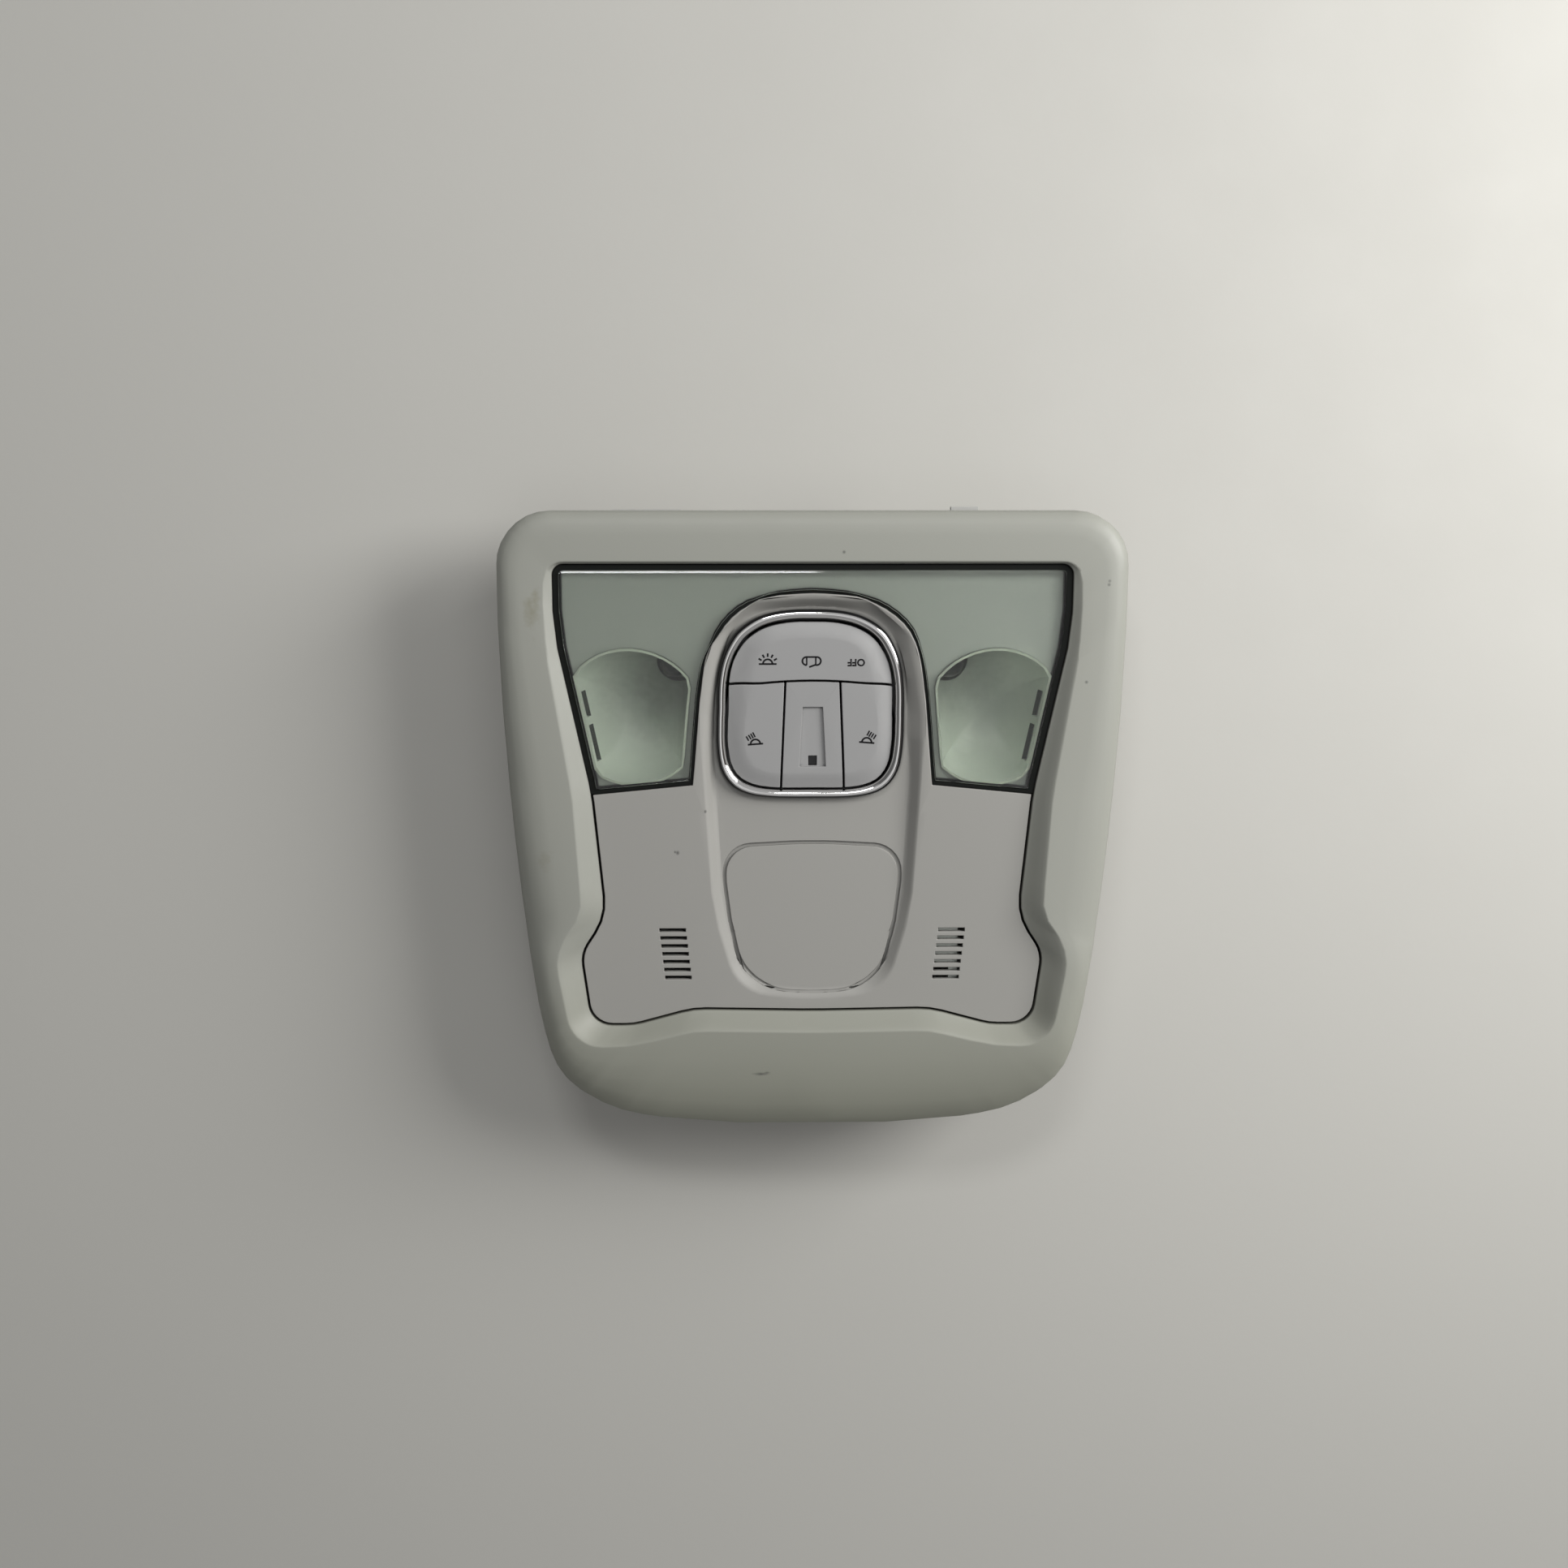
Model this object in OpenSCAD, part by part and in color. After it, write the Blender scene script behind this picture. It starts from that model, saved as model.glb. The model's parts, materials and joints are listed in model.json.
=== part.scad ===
// Roof console with two map lamps, a courtesy-light rocker and two push buttons.
// It lies on its back: the lit face looks up, the windscreen edge is at +Y.

/* [Bezel] */
// Width of the bezel across its windscreen corners
bezel_w = 212.2; // [200:1:240]
// Length of the bezel from the windscreen edge to the tail
bezel_len = 215.5; // [205:1:240]
// Radius of the two windscreen corners, seen from the front
bezel_corner_r = 18; // [10:1:26]
// How far each side has come in half way down
bezel_waist_in = 2.9; // [0:0.1:6]
// How far each side has come in where the tail corner begins
bezel_tail_in = 11.1; // [8:0.1:16]
// Height of the headliner seat above the back of the housing
seat_z = 34; // [30:0.5:40]
// Height of the bezel's straight outer wall above its seat
bezel_wall_h = 4; // [2:0.5:5]
// Wall thickness of the bezel moulding
bezel_t = 2.4; // [1.8:0.1:3]
// Height of the lip above the panel at the windscreen edge
lip_rise_front = 1.6; // [0.8:0.1:3]
// Height of the lip above the panel at the tail
lip_rise_tail = 6; // [4:0.1:8]
// Squareness of the bezel's crown at the windscreen edge
crown_front = 4; // [2.5:0.1:5]
// Squareness of the bezel's crown at the tail, where 2 is an ellipse
crown_tail = 2.2; // [2:0.1:3]

/* [Opening] */
// Width of the opening at the windscreen edge
opening_w = 174.4; // [168:0.5:178]
// Width of the opening where the lens ends
opening_mid_w = 151.2; // [148:0.5:156]
// Width of the opening at its waist
opening_waist_w = 143.2; // [140:0.5:147]
// Width of the opening across the tail lobes
opening_lobe_w = 160.8; // [154:0.5:163]
// Distance from the centre to the opening's windscreen edge
opening_front = 90.3; // [88:0.1:92]
// Distance from the centre to the tail lobes' lower edge
opening_tail = 69.8; // [67:0.1:73]
// How far the opening's tail edge rises between the lobes
tail_rise = 5.1; // [3:0.1:7]
// Width of the sloped band at the sides of the windscreen corner
band_front = 2.8; // [2:0.1:4]
// Width of the sloped band at the tail lobes
band_lobe = 8; // [6:0.1:9]
// Width of the sloped band along the windscreen edge
band_edge = 0.8; // [0.6:0.1:1.6]
// Gap between the bezel and the panel
panel_gap = 0.8; // [0.5:0.1:1.2]

/* [Panel] */
// Height of the panel and lens surface above the back of the housing
panel_z = 44; // [42:0.5:47]
// Wall thickness of the panel
panel_t = 2.4; // [1.8:0.1:2.8]
// Depth of the long channel that holds the buttons
channel_depth = 3.6; // [2.4:0.1:4.2]
// Width of the channel's sloped wall, seen from the front
channel_wall = 4.2; // [3.4:0.1:5]
// Width of the channel
channel_w = 78.4; // [76:0.2:80]
// Width of the groove around the pad
groove_w = 1.2; // [0.8:0.1:1.6]
// Depth of the groove around the pad
groove_depth = 0.8; // [0.4:0.1:1.2]
// Number of slots in each grille
slot_count = 7; // [3:1:8]
// Length of a grille slot
slot_len = 9.2; // [7:0.1:10.5]
// Height of a grille slot
slot_h = 1.3; // [0.8:0.1:1.8]
// Distance from one slot to the next
slot_pitch = 2.83; // [2.4:0.01:3]
// Distance from the centre line to the middle of the first slot
slot_x = 48.3; // [46:0.1:50]
// Height of the first slot above the centre, negative towards the tail
slot_y = -35.6; // [-38:0.1:-33]
// How far each slot moves in from the one before
slot_step = 0.3; // [0:0.05:0.5]

/* [Lens and lamps] */
// Thickness of the lens
lens_t = 2.4; // [1.8:0.1:3]
// Gap between the bezel and the lens, filled by the gasket
lens_gap = 2.2; // [1.6:0.1:2.8]
// Where the lens ends at its outer corners
lens_foot_y = 13.6; // [13:0.1:17]
// How far the lens's lower edge rises towards the channel
lens_foot_rise = 2.5; // [0:0.1:4]
// Distance from the centre line to a lamp window's centre
lamp_x = 61.5; // [60:0.1:63]
// Distance from the centre to the lamp windows' centres
lamp_y = 38.3; // [36:0.1:40]
// Half of a lamp window's long axis
lamp_a = 23.75; // [22:0.05:25]
// Half of a lamp window's short axis
lamp_b = 22.4; // [21:0.05:23.5]
// Tilt of the lamp window's long axis
lamp_tilt = 29; // [0:1:45]
// Depth of a reflector bowl below its rim
bowl_depth = 21; // [17:0.5:23]
// Wall thickness of the reflector
reflector_t = 1.5; // [1.2:0.1:2]
// Radius of the wedge bulb's glass
bulb_r = 5; // [4:0.1:5.2]
// Distance of a bulb from the side of the deep box
bulb_out = 12.2; // [10:0.1:13]
// Distance from the centre to a bulb
bulb_y = 55.9; // [54:0.1:59]

/* [Ring and buttons] */
// Width of the chrome ring across the long channel
ring_w = 62.8; // [60:0.1:64]
// Distance from the centre to the ring's windscreen end
ring_front = 74.4; // [73:0.1:75.4]
// Distance from the centre to the ring's tail end
ring_tail = 10.5; // [9.5:0.1:12]
// Width of the ring's band
ring_band = 2.6; // [2:0.1:3.2]
// Height of the ring above the channel floor
ring_h = 3.5; // [2.6:0.1:4]
// Gap between the ring and the buttons
button_gap = 0.8; // [0.7:0.05:1.1]
// Gap between one button and the next
split_gap = 0.7; // [0.5:0.05:1]
// Height of the buttons above the channel floor
button_h = 2.9; // [2.4:0.1:3.4]
// Drop of the buttons' surface at their outer edge
button_crown = 1.5; // [0.8:0.1:1.8]
// Travel of a push button
press_travel = 1.2; // [0.8:0.1:1.3]
// Distance from the centre to the arc that divides rocker from buttons
split_y = 51; // [49.5:0.1:52.4]
// Radius of that arc
split_r = 167; // [140:1:220]
// Half of the centre piece's width at the arc
insert_front = 8.9; // [8:0.1:9.6]
// Half of the centre piece's width at the ring
insert_tail = 10.6; // [9.6:0.1:11.6]
// Depth of the finger recess in the centre piece
recess_depth = 1; // [0.5:0.1:1.4]
// Height of the rocker's pivot above the back of the housing
pivot_z = 34; // [33:0.1:34.6]
// Radius of the rocker's pivot pin
pivot_r = 1; // [0.8:0.05:1.2]

/* [Housing] */
// Thickness of the housing's walls
housing_t = 2.2; // [1.8:0.1:2.6]
// How far the housing stays inside the bezel's edge at the windscreen end
housing_in = 13.1; // [12.1:0.1:16]
// How far the housing stays inside the bezel's widest line at its tail
housing_tail_in = 22.1; // [21:0.1:25]
// Distance from the centre to the housing's windscreen wall
housing_front = 96; // [94:0.5:98]
// Distance from the centre to the housing's tail wall
housing_tail = 86; // [82:0.5:88]
// Height of the tray's back above the deepest part
tray_z = 8; // [7:0.5:9]
// Width of the deep box behind the switches
box_w = 70; // [68:0.5:72]
// Distance from the centre to the deep box's tail wall
box_tail = 20; // [16:0.5:40]
// Radius of a locating peg
peg_r = 4; // [3:0.1:5]
// Distance of the locating pegs from the centre line
peg_x = 52; // [44:0.5:56]
// Distance from the centre to the locating pegs
peg_y = 57; // [56:0.5:66]
// How far the locating hook stands out beyond the bezel's windscreen edge
hook_reach = 1.2; // [0.4:0.1:2]
// Width of the locating hook
hook_w = 9.4; // [7:0.1:12]
// Distance from the centre line to the middle of the hook
hook_x = 51.7; // [46:0.1:58]
// Width of the locating tongue
tongue_w = 23.5; // [18:0.1:28]
// Distance from the centre line to the middle of the tongue
tongue_x = 56; // [52:0.1:60]

/* [Switch board] */
// Thickness of the circuit board
board_t = 1.6; // [1.2:0.1:2]
// Height of the board's underside above the back of the housing
board_z = 12; // [11:0.1:12.6]
// Distance from the centre line to a push button's plunger
plunger_x = 19.5; // [18:0.1:21]
// Distance from the centre to the push buttons' plungers
plunger_y = 30; // [26:0.1:34]
// Radius of a push-switch plunger
plunger_r = 3; // [2:0.1:3.4]
// Width of the connector's shell
connector_w = 22; // [18:0.5:26]
// Height of the connector's shell
connector_h = 9; // [8:0.1:9.4]
// Wall of the connector's shell
connector_t = 1.2; // [1:0.1:1.5]
// Number of pins in each of the connector's two rows
pin_count = 5; // [2:1:6]
// Distance between the connector's pins
pin_pitch = 2.54; // [2:0.02:2.6]

/* [Hidden] */

// Facets on round things
$fn = 40;
// Largest turn between two points of a rounded corner, in degrees
corner_step = 13;
// Small overlap that lets a cut pass through a face
eps = 0.1;
// Half of the bezel's width and length
bezel_half = bezel_w / 2;
housing_w = bezel_w - 2 * housing_in;
housing_tail_w = bezel_w - 2 * housing_tail_in;
bulb_x = box_w / 2 + bulb_out;
bezel_end = bezel_len / 2;
// Heights that follow from the driving sizes
edge_z = seat_z + bezel_wall_h;
floor_z = panel_z - channel_depth;
floor_under = floor_z - panel_t;
plate_under = panel_z - panel_t;
lens_under = panel_z - lens_t;
gasket_flange = 2.1;
reflector_top = lens_under - gasket_flange;
reflector_under = reflector_top - reflector_t;
bowl_rim_z = lens_under - 0.2;
inner_wall_z = panel_z - 4.5;
housing_top = seat_z + 4.4;
tray_floor = tray_z + housing_t;
board_top = board_z + board_t;
button_top = floor_z + button_h;
cap_under = button_top - button_crown - 1.6;
skirt_z = pivot_z + 0.6;
skirt_t = 1.3;
frame_gap = 0.5;
frame_t = 1.8;
frame_floor_t = 1.4;
frame_floor = board_top + 13.8;
tact_h = 5.4;
tact_top = board_top + tact_h;
plunger_low = board_top + press_travel + 1.2;
plunger_top = frame_floor - frame_floor_t - 1.8;
gasket_top = panel_z - 0.6;
// Gap between the lens's foot and the panel, filled by the gasket
foot_gap = 1.7;
// The crown's fall: shares of its reach from the edge, and of its drop
crown_reach = 5.6;
crown_steps = [[0, 1], [0.3, 0.6], [0.62, 0.24], [0.86, 0.05], [1, 0]];
// Ends of the cooling slots along the car, and their height
vent_spans = [[22.6, 35.2], [37.9, 46.8]];
vent_low = 32.4;
vent_top = 37.3;

// Outline tools. A corner is [x, y, radius]; outlines run counter-clockwise.
function unit(v) = v / norm(v);
function clamp01(t) = max(0, min(1, t));
function mix(a, b, t) = a + (b - a) * t;
function flat(p) = [p.x, p.y];

// The right half of an outline, listed from the windscreen edge to the tail, closed by its mirror image
function closed(half) = concat(
    [for (i = [len(half) - 1:-1:0]) half[i]],
    [for (p = half) [-p.x, p.y, p.z]]);

// Corners moved out by d, which is one number or one for each corner
function outset(c, d) = [for (i = [0:len(c) - 1])
    let (
        n = len(c),
        u = unit(flat(c[i]) - flat(c[(i + n - 1) % n])),
        v = unit(flat(c[(i + 1) % n]) - flat(c[i])),
        nu = [u.y, -u.x],
        nv = [v.y, -v.x],
        s = is_list(d) ? d[i] : d,
        bend = u.x * v.y - u.y * v.x,
        m = s * (nu + nv) / (1 + nu * nv)
    )
    [c[i].x + m.x, c[i].y + m.y, max(0.4, c[i].z + (bend >= 0 ? s : -s))]];

// Points of an outline with its corners rounded; a radius is limited by its two sides
function rounded(c) = [for (i = [0:len(c) - 1])
    let (
        n = len(c),
        p = flat(c[i]),
        before = flat(c[(i + n - 1) % n]),
        after = flat(c[(i + 1) % n]),
        u = unit(p - before),
        v = unit(after - p),
        bend = u.x * v.y - u.y * v.x,
        angle = acos(max(-1, min(1, u * v))),
        room = min(norm(p - before), norm(after - p)) * 0.49,
        r = min(c[i].z, room / tan(angle / 2)),
        start = p - u * r * tan(angle / 2),
        side = bend >= 0 ? 1 : -1,
        centre = start + side * r * [-u.y, u.x],
        steps = max(1, ceil(angle / corner_step))
    )
    for (k = [0:steps])
    let (w = side * angle * k / steps, o = start - centre)
    [centre.x + o.x * cos(w) - o.y * sin(w), centre.y + o.x * sin(w) + o.y * cos(w)]];

// Where a ray from the origin at angle a crosses an outline around it
function ray_hit(outline, a) =
    let (
        d = [cos(a), sin(a)],
        across = [-d.y, d.x],
        n = len(outline),
        hits = [for (i = [0:n - 1])
            let (p = outline[i], q = outline[(i + 1) % n], sp = p * across, sq = q * across)
            if (sp <= 0 && sq > 0 && p * d + q * d > 0) p + (q - p) * sp / (sp - sq)]
    )
    hits[0];

// Numbers in rising order, and the same list without near repeats
function sorted(v) = len(v) < 2 ? v :
    let (pivot = v[floor(len(v) / 2)])
    concat(sorted([for (x = v) if (x < pivot) x]), [for (x = v) if (x == pivot) x],
        sorted([for (x = v) if (x > pivot) x]));
function thinned(v, least) = [for (i = [0:len(v) - 1])
    if (i == 0 || v[i] - v[i - 1] > least) v[i]];

// Triangles between rings of equal point counts, listed from the lowest ring up the outside
function ring_faces(n, rings, looped) = [
    for (j = [0:rings - (looped ? 1 : 2)], i = [0:n - 1])
    let (k = (i + 1) % n, a = j * n, b = ((j + 1) % rings) * n)
    for (f = [[a + i, b + k, a + k], [a + i, b + i, b + k]]) f];

// A solid through rings of 3-D points, with flat ends
module loft(rings) {
    n = len(rings[0]);
    polyhedron(
        points = [for (r = rings) for (p = r) p],
        faces = concat(
            ring_faces(n, len(rings), false),
            [[for (i = [0:n - 1]) i]],
            [[for (i = [n - 1:-1:0]) (len(rings) - 1) * n + i]]),
        convexity = 8);
}

// A closed loop of section, swept round through rings of 3-D points
module loop_loft(rings) {
    n = len(rings[0]);
    polyhedron(
        points = [for (r = rings) for (p = r) p],
        faces = ring_faces(n, len(rings), true),
        convexity = 8);
}

function at_height(points, z) = [for (p = points) [p.x, p.y, z]];

// A prism over an outline of plain points
module slab(points, z0, z1) {
    translate([0, 0, z0])
        linear_extrude(height = z1 - z0)
            polygon(points);
}

module block(x0, x1, y0, y1, z0, z1) {
    translate([x0, y0, z0])
        cube([x1 - x0, y1 - y0, z1 - z0]);
}

module post(x, y, r, z0, z1) {
    translate([x, y, z0])
        cylinder(r = r, h = z1 - z0);
}

module both_sides() {
    children();
    mirror([1, 0, 0])
        children();
}

// The bezel's outer edge, from the windscreen corner down the right side to the tail
bezel_corners = closed([
    [bezel_half, bezel_end, bezel_corner_r],
    [bezel_half, 55, 500],
    [bezel_half - bezel_waist_in, 5, 500],
    [bezel_half - mix(bezel_waist_in, bezel_tail_in, 0.42), -33, 400],
    [bezel_half - bezel_tail_in, -bezel_end + 39.7, 80],
    [bezel_half - bezel_tail_in - 5.4, -bezel_end + 18.8, 26],
    [bezel_half - bezel_tail_in - 23.5, -bezel_end + 5.2, 70],
    [bezel_half - bezel_tail_in - 55, -bezel_end, 170]]);

// The opening's edge: corner, shoulder, lens foot, waist, lobe and the raised tail edge
opening_corners = closed([
    [opening_w / 2, opening_front, 3.8],
    [opening_w / 2, 68.2, 60],
    [opening_mid_w / 2, 12.8, 60],
    [opening_waist_w / 2, -30.4, 20],
    [opening_lobe_w / 2, -43.8, 12],
    [opening_lobe_w / 2 - 3.4, -opening_tail, 11.5],
    [opening_lobe_w / 2 - 18.3, -opening_tail, 22],
    [opening_lobe_w / 2 - 39.2, -opening_tail + tail_rise + 0.6, 30],
    [4, -opening_tail + tail_rise, 60]]);

// Share of the band's growth that each corner of the opening has, and the band's width there
band_share = [0, 0.12, 0.6, 0.8, 1, 0.7, 0.5, 0.6, 0.6];
band_half = [for (s = band_share) mix(band_front, band_lobe, s)];
band = concat([for (i = [len(band_half) - 1:-1:0]) band_half[i]], band_half);
lip_plain = outset(opening_corners, band);
lip_corners = [for (p = lip_plain)
    p.y > opening_front ? [p.x, opening_front + band_edge, p.z] : p];

// The channel in the panel, from its windscreen end to its tail end
channel_half = channel_w / 2;
channel_corners = closed([
    [4, 79.8, 40],
    [channel_half - 7.2, 77.6, 29],
    [channel_half - 1, 46, 90],
    [channel_half - 0.6, 34, 90],
    [channel_half - 4.6, -29, 60],
    [channel_half - 13.1, -58.6, 28],
    [4, -60.6, 60]]);

// The edge between the lens and the panel, along the arch around the channel
arch_corners = closed([
    [2, 81, 60],
    [channel_half - 6.2, 78.8, 30],
    [channel_half - 0.9, 50, 120],
    [channel_half + 3.2, 2, 1]]);
arch_lean = 4.1 / 48;

// The middle line of the groove around the pad, held inside the channel's floor
pad_half = channel_half - channel_wall - 4.4;
pad_corners = closed([
    [6, -5.3, 60],
    [pad_half, -6.6, 14],
    [pad_half - 0.6, -26, 70],
    [pad_half - 7.4, -56.4, 19],
    [5, -57.8, 60]]);

// The chrome ring's outer edge, and the field of the buttons inside it
ring_half = ring_w / 2;
ring_corners = closed([
    [9, ring_front, 60],
    [ring_half - 7.2, ring_front - 2.4, 17],
    [ring_half, 38.5, 50],
    [ring_half - 0.5, ring_tail + 2.7, 17],
    [8, ring_tail + 0.1, 60]]);
field_drop = 0.35;
field_corners = [for (p = outset(ring_corners, -ring_band - button_gap)) [p.x, p.y - field_drop, p.z]];
field_y = (ring_front + ring_tail) / 2 - field_drop;

housing_corners = closed([
    [housing_w / 2, housing_front, 12],
    [housing_tail_w / 2, -housing_tail, 26]]);

// Half of the housing's width at a distance from the centre
function housing_half(y) = mix(housing_tail_w, housing_w,
    (y + housing_tail) / (housing_front + housing_tail)) / 2;

// Height of the bezel's lip at a distance from the centre
function lip_z(y) = panel_z + mix(lip_rise_front, lip_rise_tail, clamp01((opening_front - y) / 115));
function crown_power(y) = mix(crown_front, crown_tail, clamp01((opening_front - y) / 150));

// Where the bezel is screwed to the ears of the housing
boss_spots = [for (y = [72, 5, -58]) [housing_half(y) + 3.8, y]];
boss_r = 3;
screw_r = 1.4;
screw_len = 7;
panel_spots = [[58, 4], [62, -52]];
panel_post_z = 30;
reflector_spots = [[80, 80], [52, 82]];

// The lens's lower edge, a shallow roof that rises towards the centre line
function foot_y(x) = lens_foot_y + lens_foot_rise * (opening_mid_w / 2 - x) / 35;
module above_foot(lift, z0, z1) {
    far = bezel_w;
    slab([[-far, foot_y(far) + lift], [0, foot_y(0) + lift], [far, foot_y(far) + lift],
        [far, far], [-far, far]], z0, z1);
}

module bezel() {
    outer = rounded(bezel_corners);
    lip = rounded(lip_corners);
    opening = rounded(opening_corners);
    outer_in = rounded(outset(bezel_corners, -bezel_t));
    lip_out = rounded(outset(lip_corners, 1.8));
    wall_out = rounded(outset(opening_corners, bezel_t - 0.2));
    angles = thinned(sorted([for (p = concat(outer, opening)) atan2(p.y, p.x)]), 0.3);
    low = panel_z + 0.2;
    // The crown from the straight outer wall up to the lip
    crown = [for (t = [90:-15:0]) [for (a = angles)
        let (
            o = ray_hit(outer, a),
            l = ray_hit(lip, a),
            k = 2 / crown_power(l.y),
            p = l + (o - l) * pow(sin(t), k)
        )
        [p.x, p.y, edge_z + (lip_z(l.y) - edge_z) * pow(cos(t), k)]]];
    // The sloped band from the lip down to the opening
    slope = [for (t = [0.2, 0.5, 0.8]) [for (a = angles)
        let (l = ray_hit(lip, a), c = ray_hit(opening, a), p = mix(l, c, t))
        [p.x, p.y, mix(lip_z(l.y), low, (t + t * t * (3 - 2 * t)) / 2)]]];
    // The inside of the crown
    hollow = [for (t = [0, 45, 70, 90]) [for (a = angles)
        let (
            o = ray_hit(outer_in, a),
            l = ray_hit(lip_out, a),
            k = 2 / crown_power(l.y),
            p = l + (o - l) * pow(sin(t), k)
        )
        [p.x, p.y, edge_z + (lip_z(l.y) - bezel_t - edge_z) * pow(cos(t), k)]]];
    color([0.71, 0.72, 0.68])
        union() {
            loop_loft(concat(
                [[for (a = angles) let (p = ray_hit(outer, a)) [p.x, p.y, seat_z]]],
                crown,
                slope,
                [for (z = [low, inner_wall_z]) [for (a = angles) let (p = ray_hit(opening, a)) [p.x, p.y,
                    z]]],
                [for (z = [inner_wall_z, panel_z - 1.2]) [for (a = angles)
                    let (p = ray_hit(wall_out, a)) [p.x, p.y, z]]],
                hollow,
                [[for (a = angles) let (p = ray_hit(outer_in, a)) [p.x, p.y, seat_z]]]));
            both_sides()
                for (s = boss_spots)
                    translate([s.x, s.y, housing_top])
                        difference() {
                            cylinder(r = boss_r, h = lip_z(s.y) - bezel_t * 1.15 - housing_top);
                            translate([0, 0, -eps])
                                cylinder(r = screw_r, h = screw_len - 2.2);
                        }
        }
}

// The space under the lens: inside the opening, above the foot line and outside the arch
module lens_area(inset, lift, out, z0, z1) {
    difference() {
        intersection() {
            slab(rounded(outset(opening_corners, -inset)), z0, z1);
            above_foot(lift, z0 - eps, z1 + eps);
        }
        slab(rounded(outset(arch_corners, out)), z0 - eps, z1 + eps);
    }
}

module lens() {
    color([0.62, 0.68, 0.63, 0.55])
        lens_area(lens_gap, 0, 0.6, lens_under, panel_z);
}

module lens_gasket() {
    color([0.12, 0.13, 0.12])
        difference() {
            lens_area(0.3, 0.3 - foot_gap, -0.3, reflector_top, gasket_top);
            lens_area(lens_gap, 0, 0.6, lens_under, panel_z);
            lens_area(lens_gap + 0.6, 0.5, 1.1, reflector_top - eps, panel_z);
        }
}

// The channel as a pan: up the outside, over the edge, down the curved wall to the floor
module channel_pan() {
    steps = 6;
    outside = [[floor_under, -channel_wall + 1.4], [plate_under - 0.6, -0.4], [plate_under + 0.5, 0.25],
        [panel_z, 0.25]];
    loft(concat(
        [for (o = outside) at_height(rounded(outset(channel_corners, o[1])), o[0])],
        [for (k = [0:steps])
            let (s = k / steps)
            at_height(rounded(outset(channel_corners, -channel_wall * s)),
                panel_z - channel_depth * s * s * (3 - 2 * s))]));
}

module grille_slots() {
    both_sides()
        for (i = [0:slot_count - 1])
            translate([slot_x - i * slot_step - slot_len / 2, slot_y - i * slot_pitch - slot_h / 2,
                plate_under - eps])
                cube([slot_len, slot_h, panel_t + 2 * eps]);
}

module control_panel() {
    below = -foot_gap;
    color([0.72, 0.72, 0.71])
        difference() {
            union() {
                difference() {
                    union() {
                        difference() {
                            slab(rounded(outset(opening_corners, -panel_gap)), housing_top, panel_z);
                            above_foot(below, housing_top - eps, panel_z + eps);
                            difference() {
                                slab(rounded(outset(opening_corners, -panel_gap - 1.6)), housing_top - eps,
                                    plate_under);
                                above_foot(below - 1.6, housing_top - 2 * eps, plate_under + eps);
                            }
                        }
                        slab(rounded(outset(arch_corners, -0.5)), plate_under, panel_z);
                    }
                    slab(rounded(outset(channel_corners, 0.12)), floor_under, panel_z + eps);
                }
                channel_pan();
                both_sides()
                    for (s = panel_spots)
                        post(s.x, s.y, 3.6, panel_post_z, plate_under + 0.2);
            }
            slab(rounded(outset(field_corners, frame_gap)), floor_under - eps, floor_z + eps);
            difference() {
                slab(rounded(outset(pad_corners, groove_w / 2)), floor_z - groove_depth, floor_z + eps);
                slab(rounded(outset(pad_corners, -groove_w / 2)), floor_z - groove_depth - eps,
                    floor_z + 2 * eps);
            }
            grille_slots();
            both_sides()
                for (s = panel_spots)
                    post(s.x, s.y, screw_r, panel_post_z - eps, panel_post_z + screw_len);
        }
}

// Slope of the opening's long side, and the room between it and a lamp's centre
side_lean = (opening_w - opening_mid_w) / 2 / (68.2 - 12.8);
side_room = opening_mid_w / 2 + (lamp_y - 12.8) * side_lean - lamp_x - lens_gap - 1.5;

// How far a lamp bowl reaches from its centre in direction a: an ellipse with three flats,
// one along the bezel, one along the arch and one along the lens's foot
function bowl_reach(a, size, grow) =
    let (
        w = a - lamp_tilt,
        p = lamp_a * size + grow,
        q = lamp_b * size + grow,
        round = p * q / norm([q * cos(w), p * sin(w)]),
        inner_room = lamp_x - (channel_half + 3.2 - (lamp_y - 2) * arch_lean) - 3.9,
        foot_room = lamp_y - foot_y(lamp_x) - 1.4,
        to_outer = cos(a) - side_lean * sin(a),
        to_inner = -cos(a) - arch_lean * sin(a),
        to_foot = -sin(a) - cos(a) * lens_foot_rise / 35,
        rooms = [
            if (to_outer > 0.05) (side_room * size + grow) / to_outer,
            if (to_inner > 0.05) (inner_room * size + grow) / to_inner,
            if (to_foot > 0.05) (foot_room * size + grow) / to_foot]
    )
    min(concat([round], rooms));

function bowl_ring(size, grow, z) = [for (a = [0:9:351])
    let (r = bowl_reach(a, size, grow))
    [lamp_x + r * cos(a), lamp_y + r * sin(a), z]];

// Sizes of the bowl's inside at fractions of its depth
bowl_steps = [[0, 1], [0.2, 0.985], [0.4, 0.94], [0.6, 0.85], [0.78, 0.7], [0.92, 0.48], [1, 0.22]];
bowl_t = 1.5;
bowl_low = bowl_rim_z - bowl_depth;

// A core that ends inside the bowl's wall, for clearing what would stand in the bowl
module bowl_core() {
    loft([for (i = [len(bowl_steps) - 1:-1:0])
        let (z = bowl_rim_z - bowl_depth * bowl_steps[i][0])
        bowl_ring(bowl_steps[i][1], 0.7, z + (i == 0 ? eps : -0.6))]);
}

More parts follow.
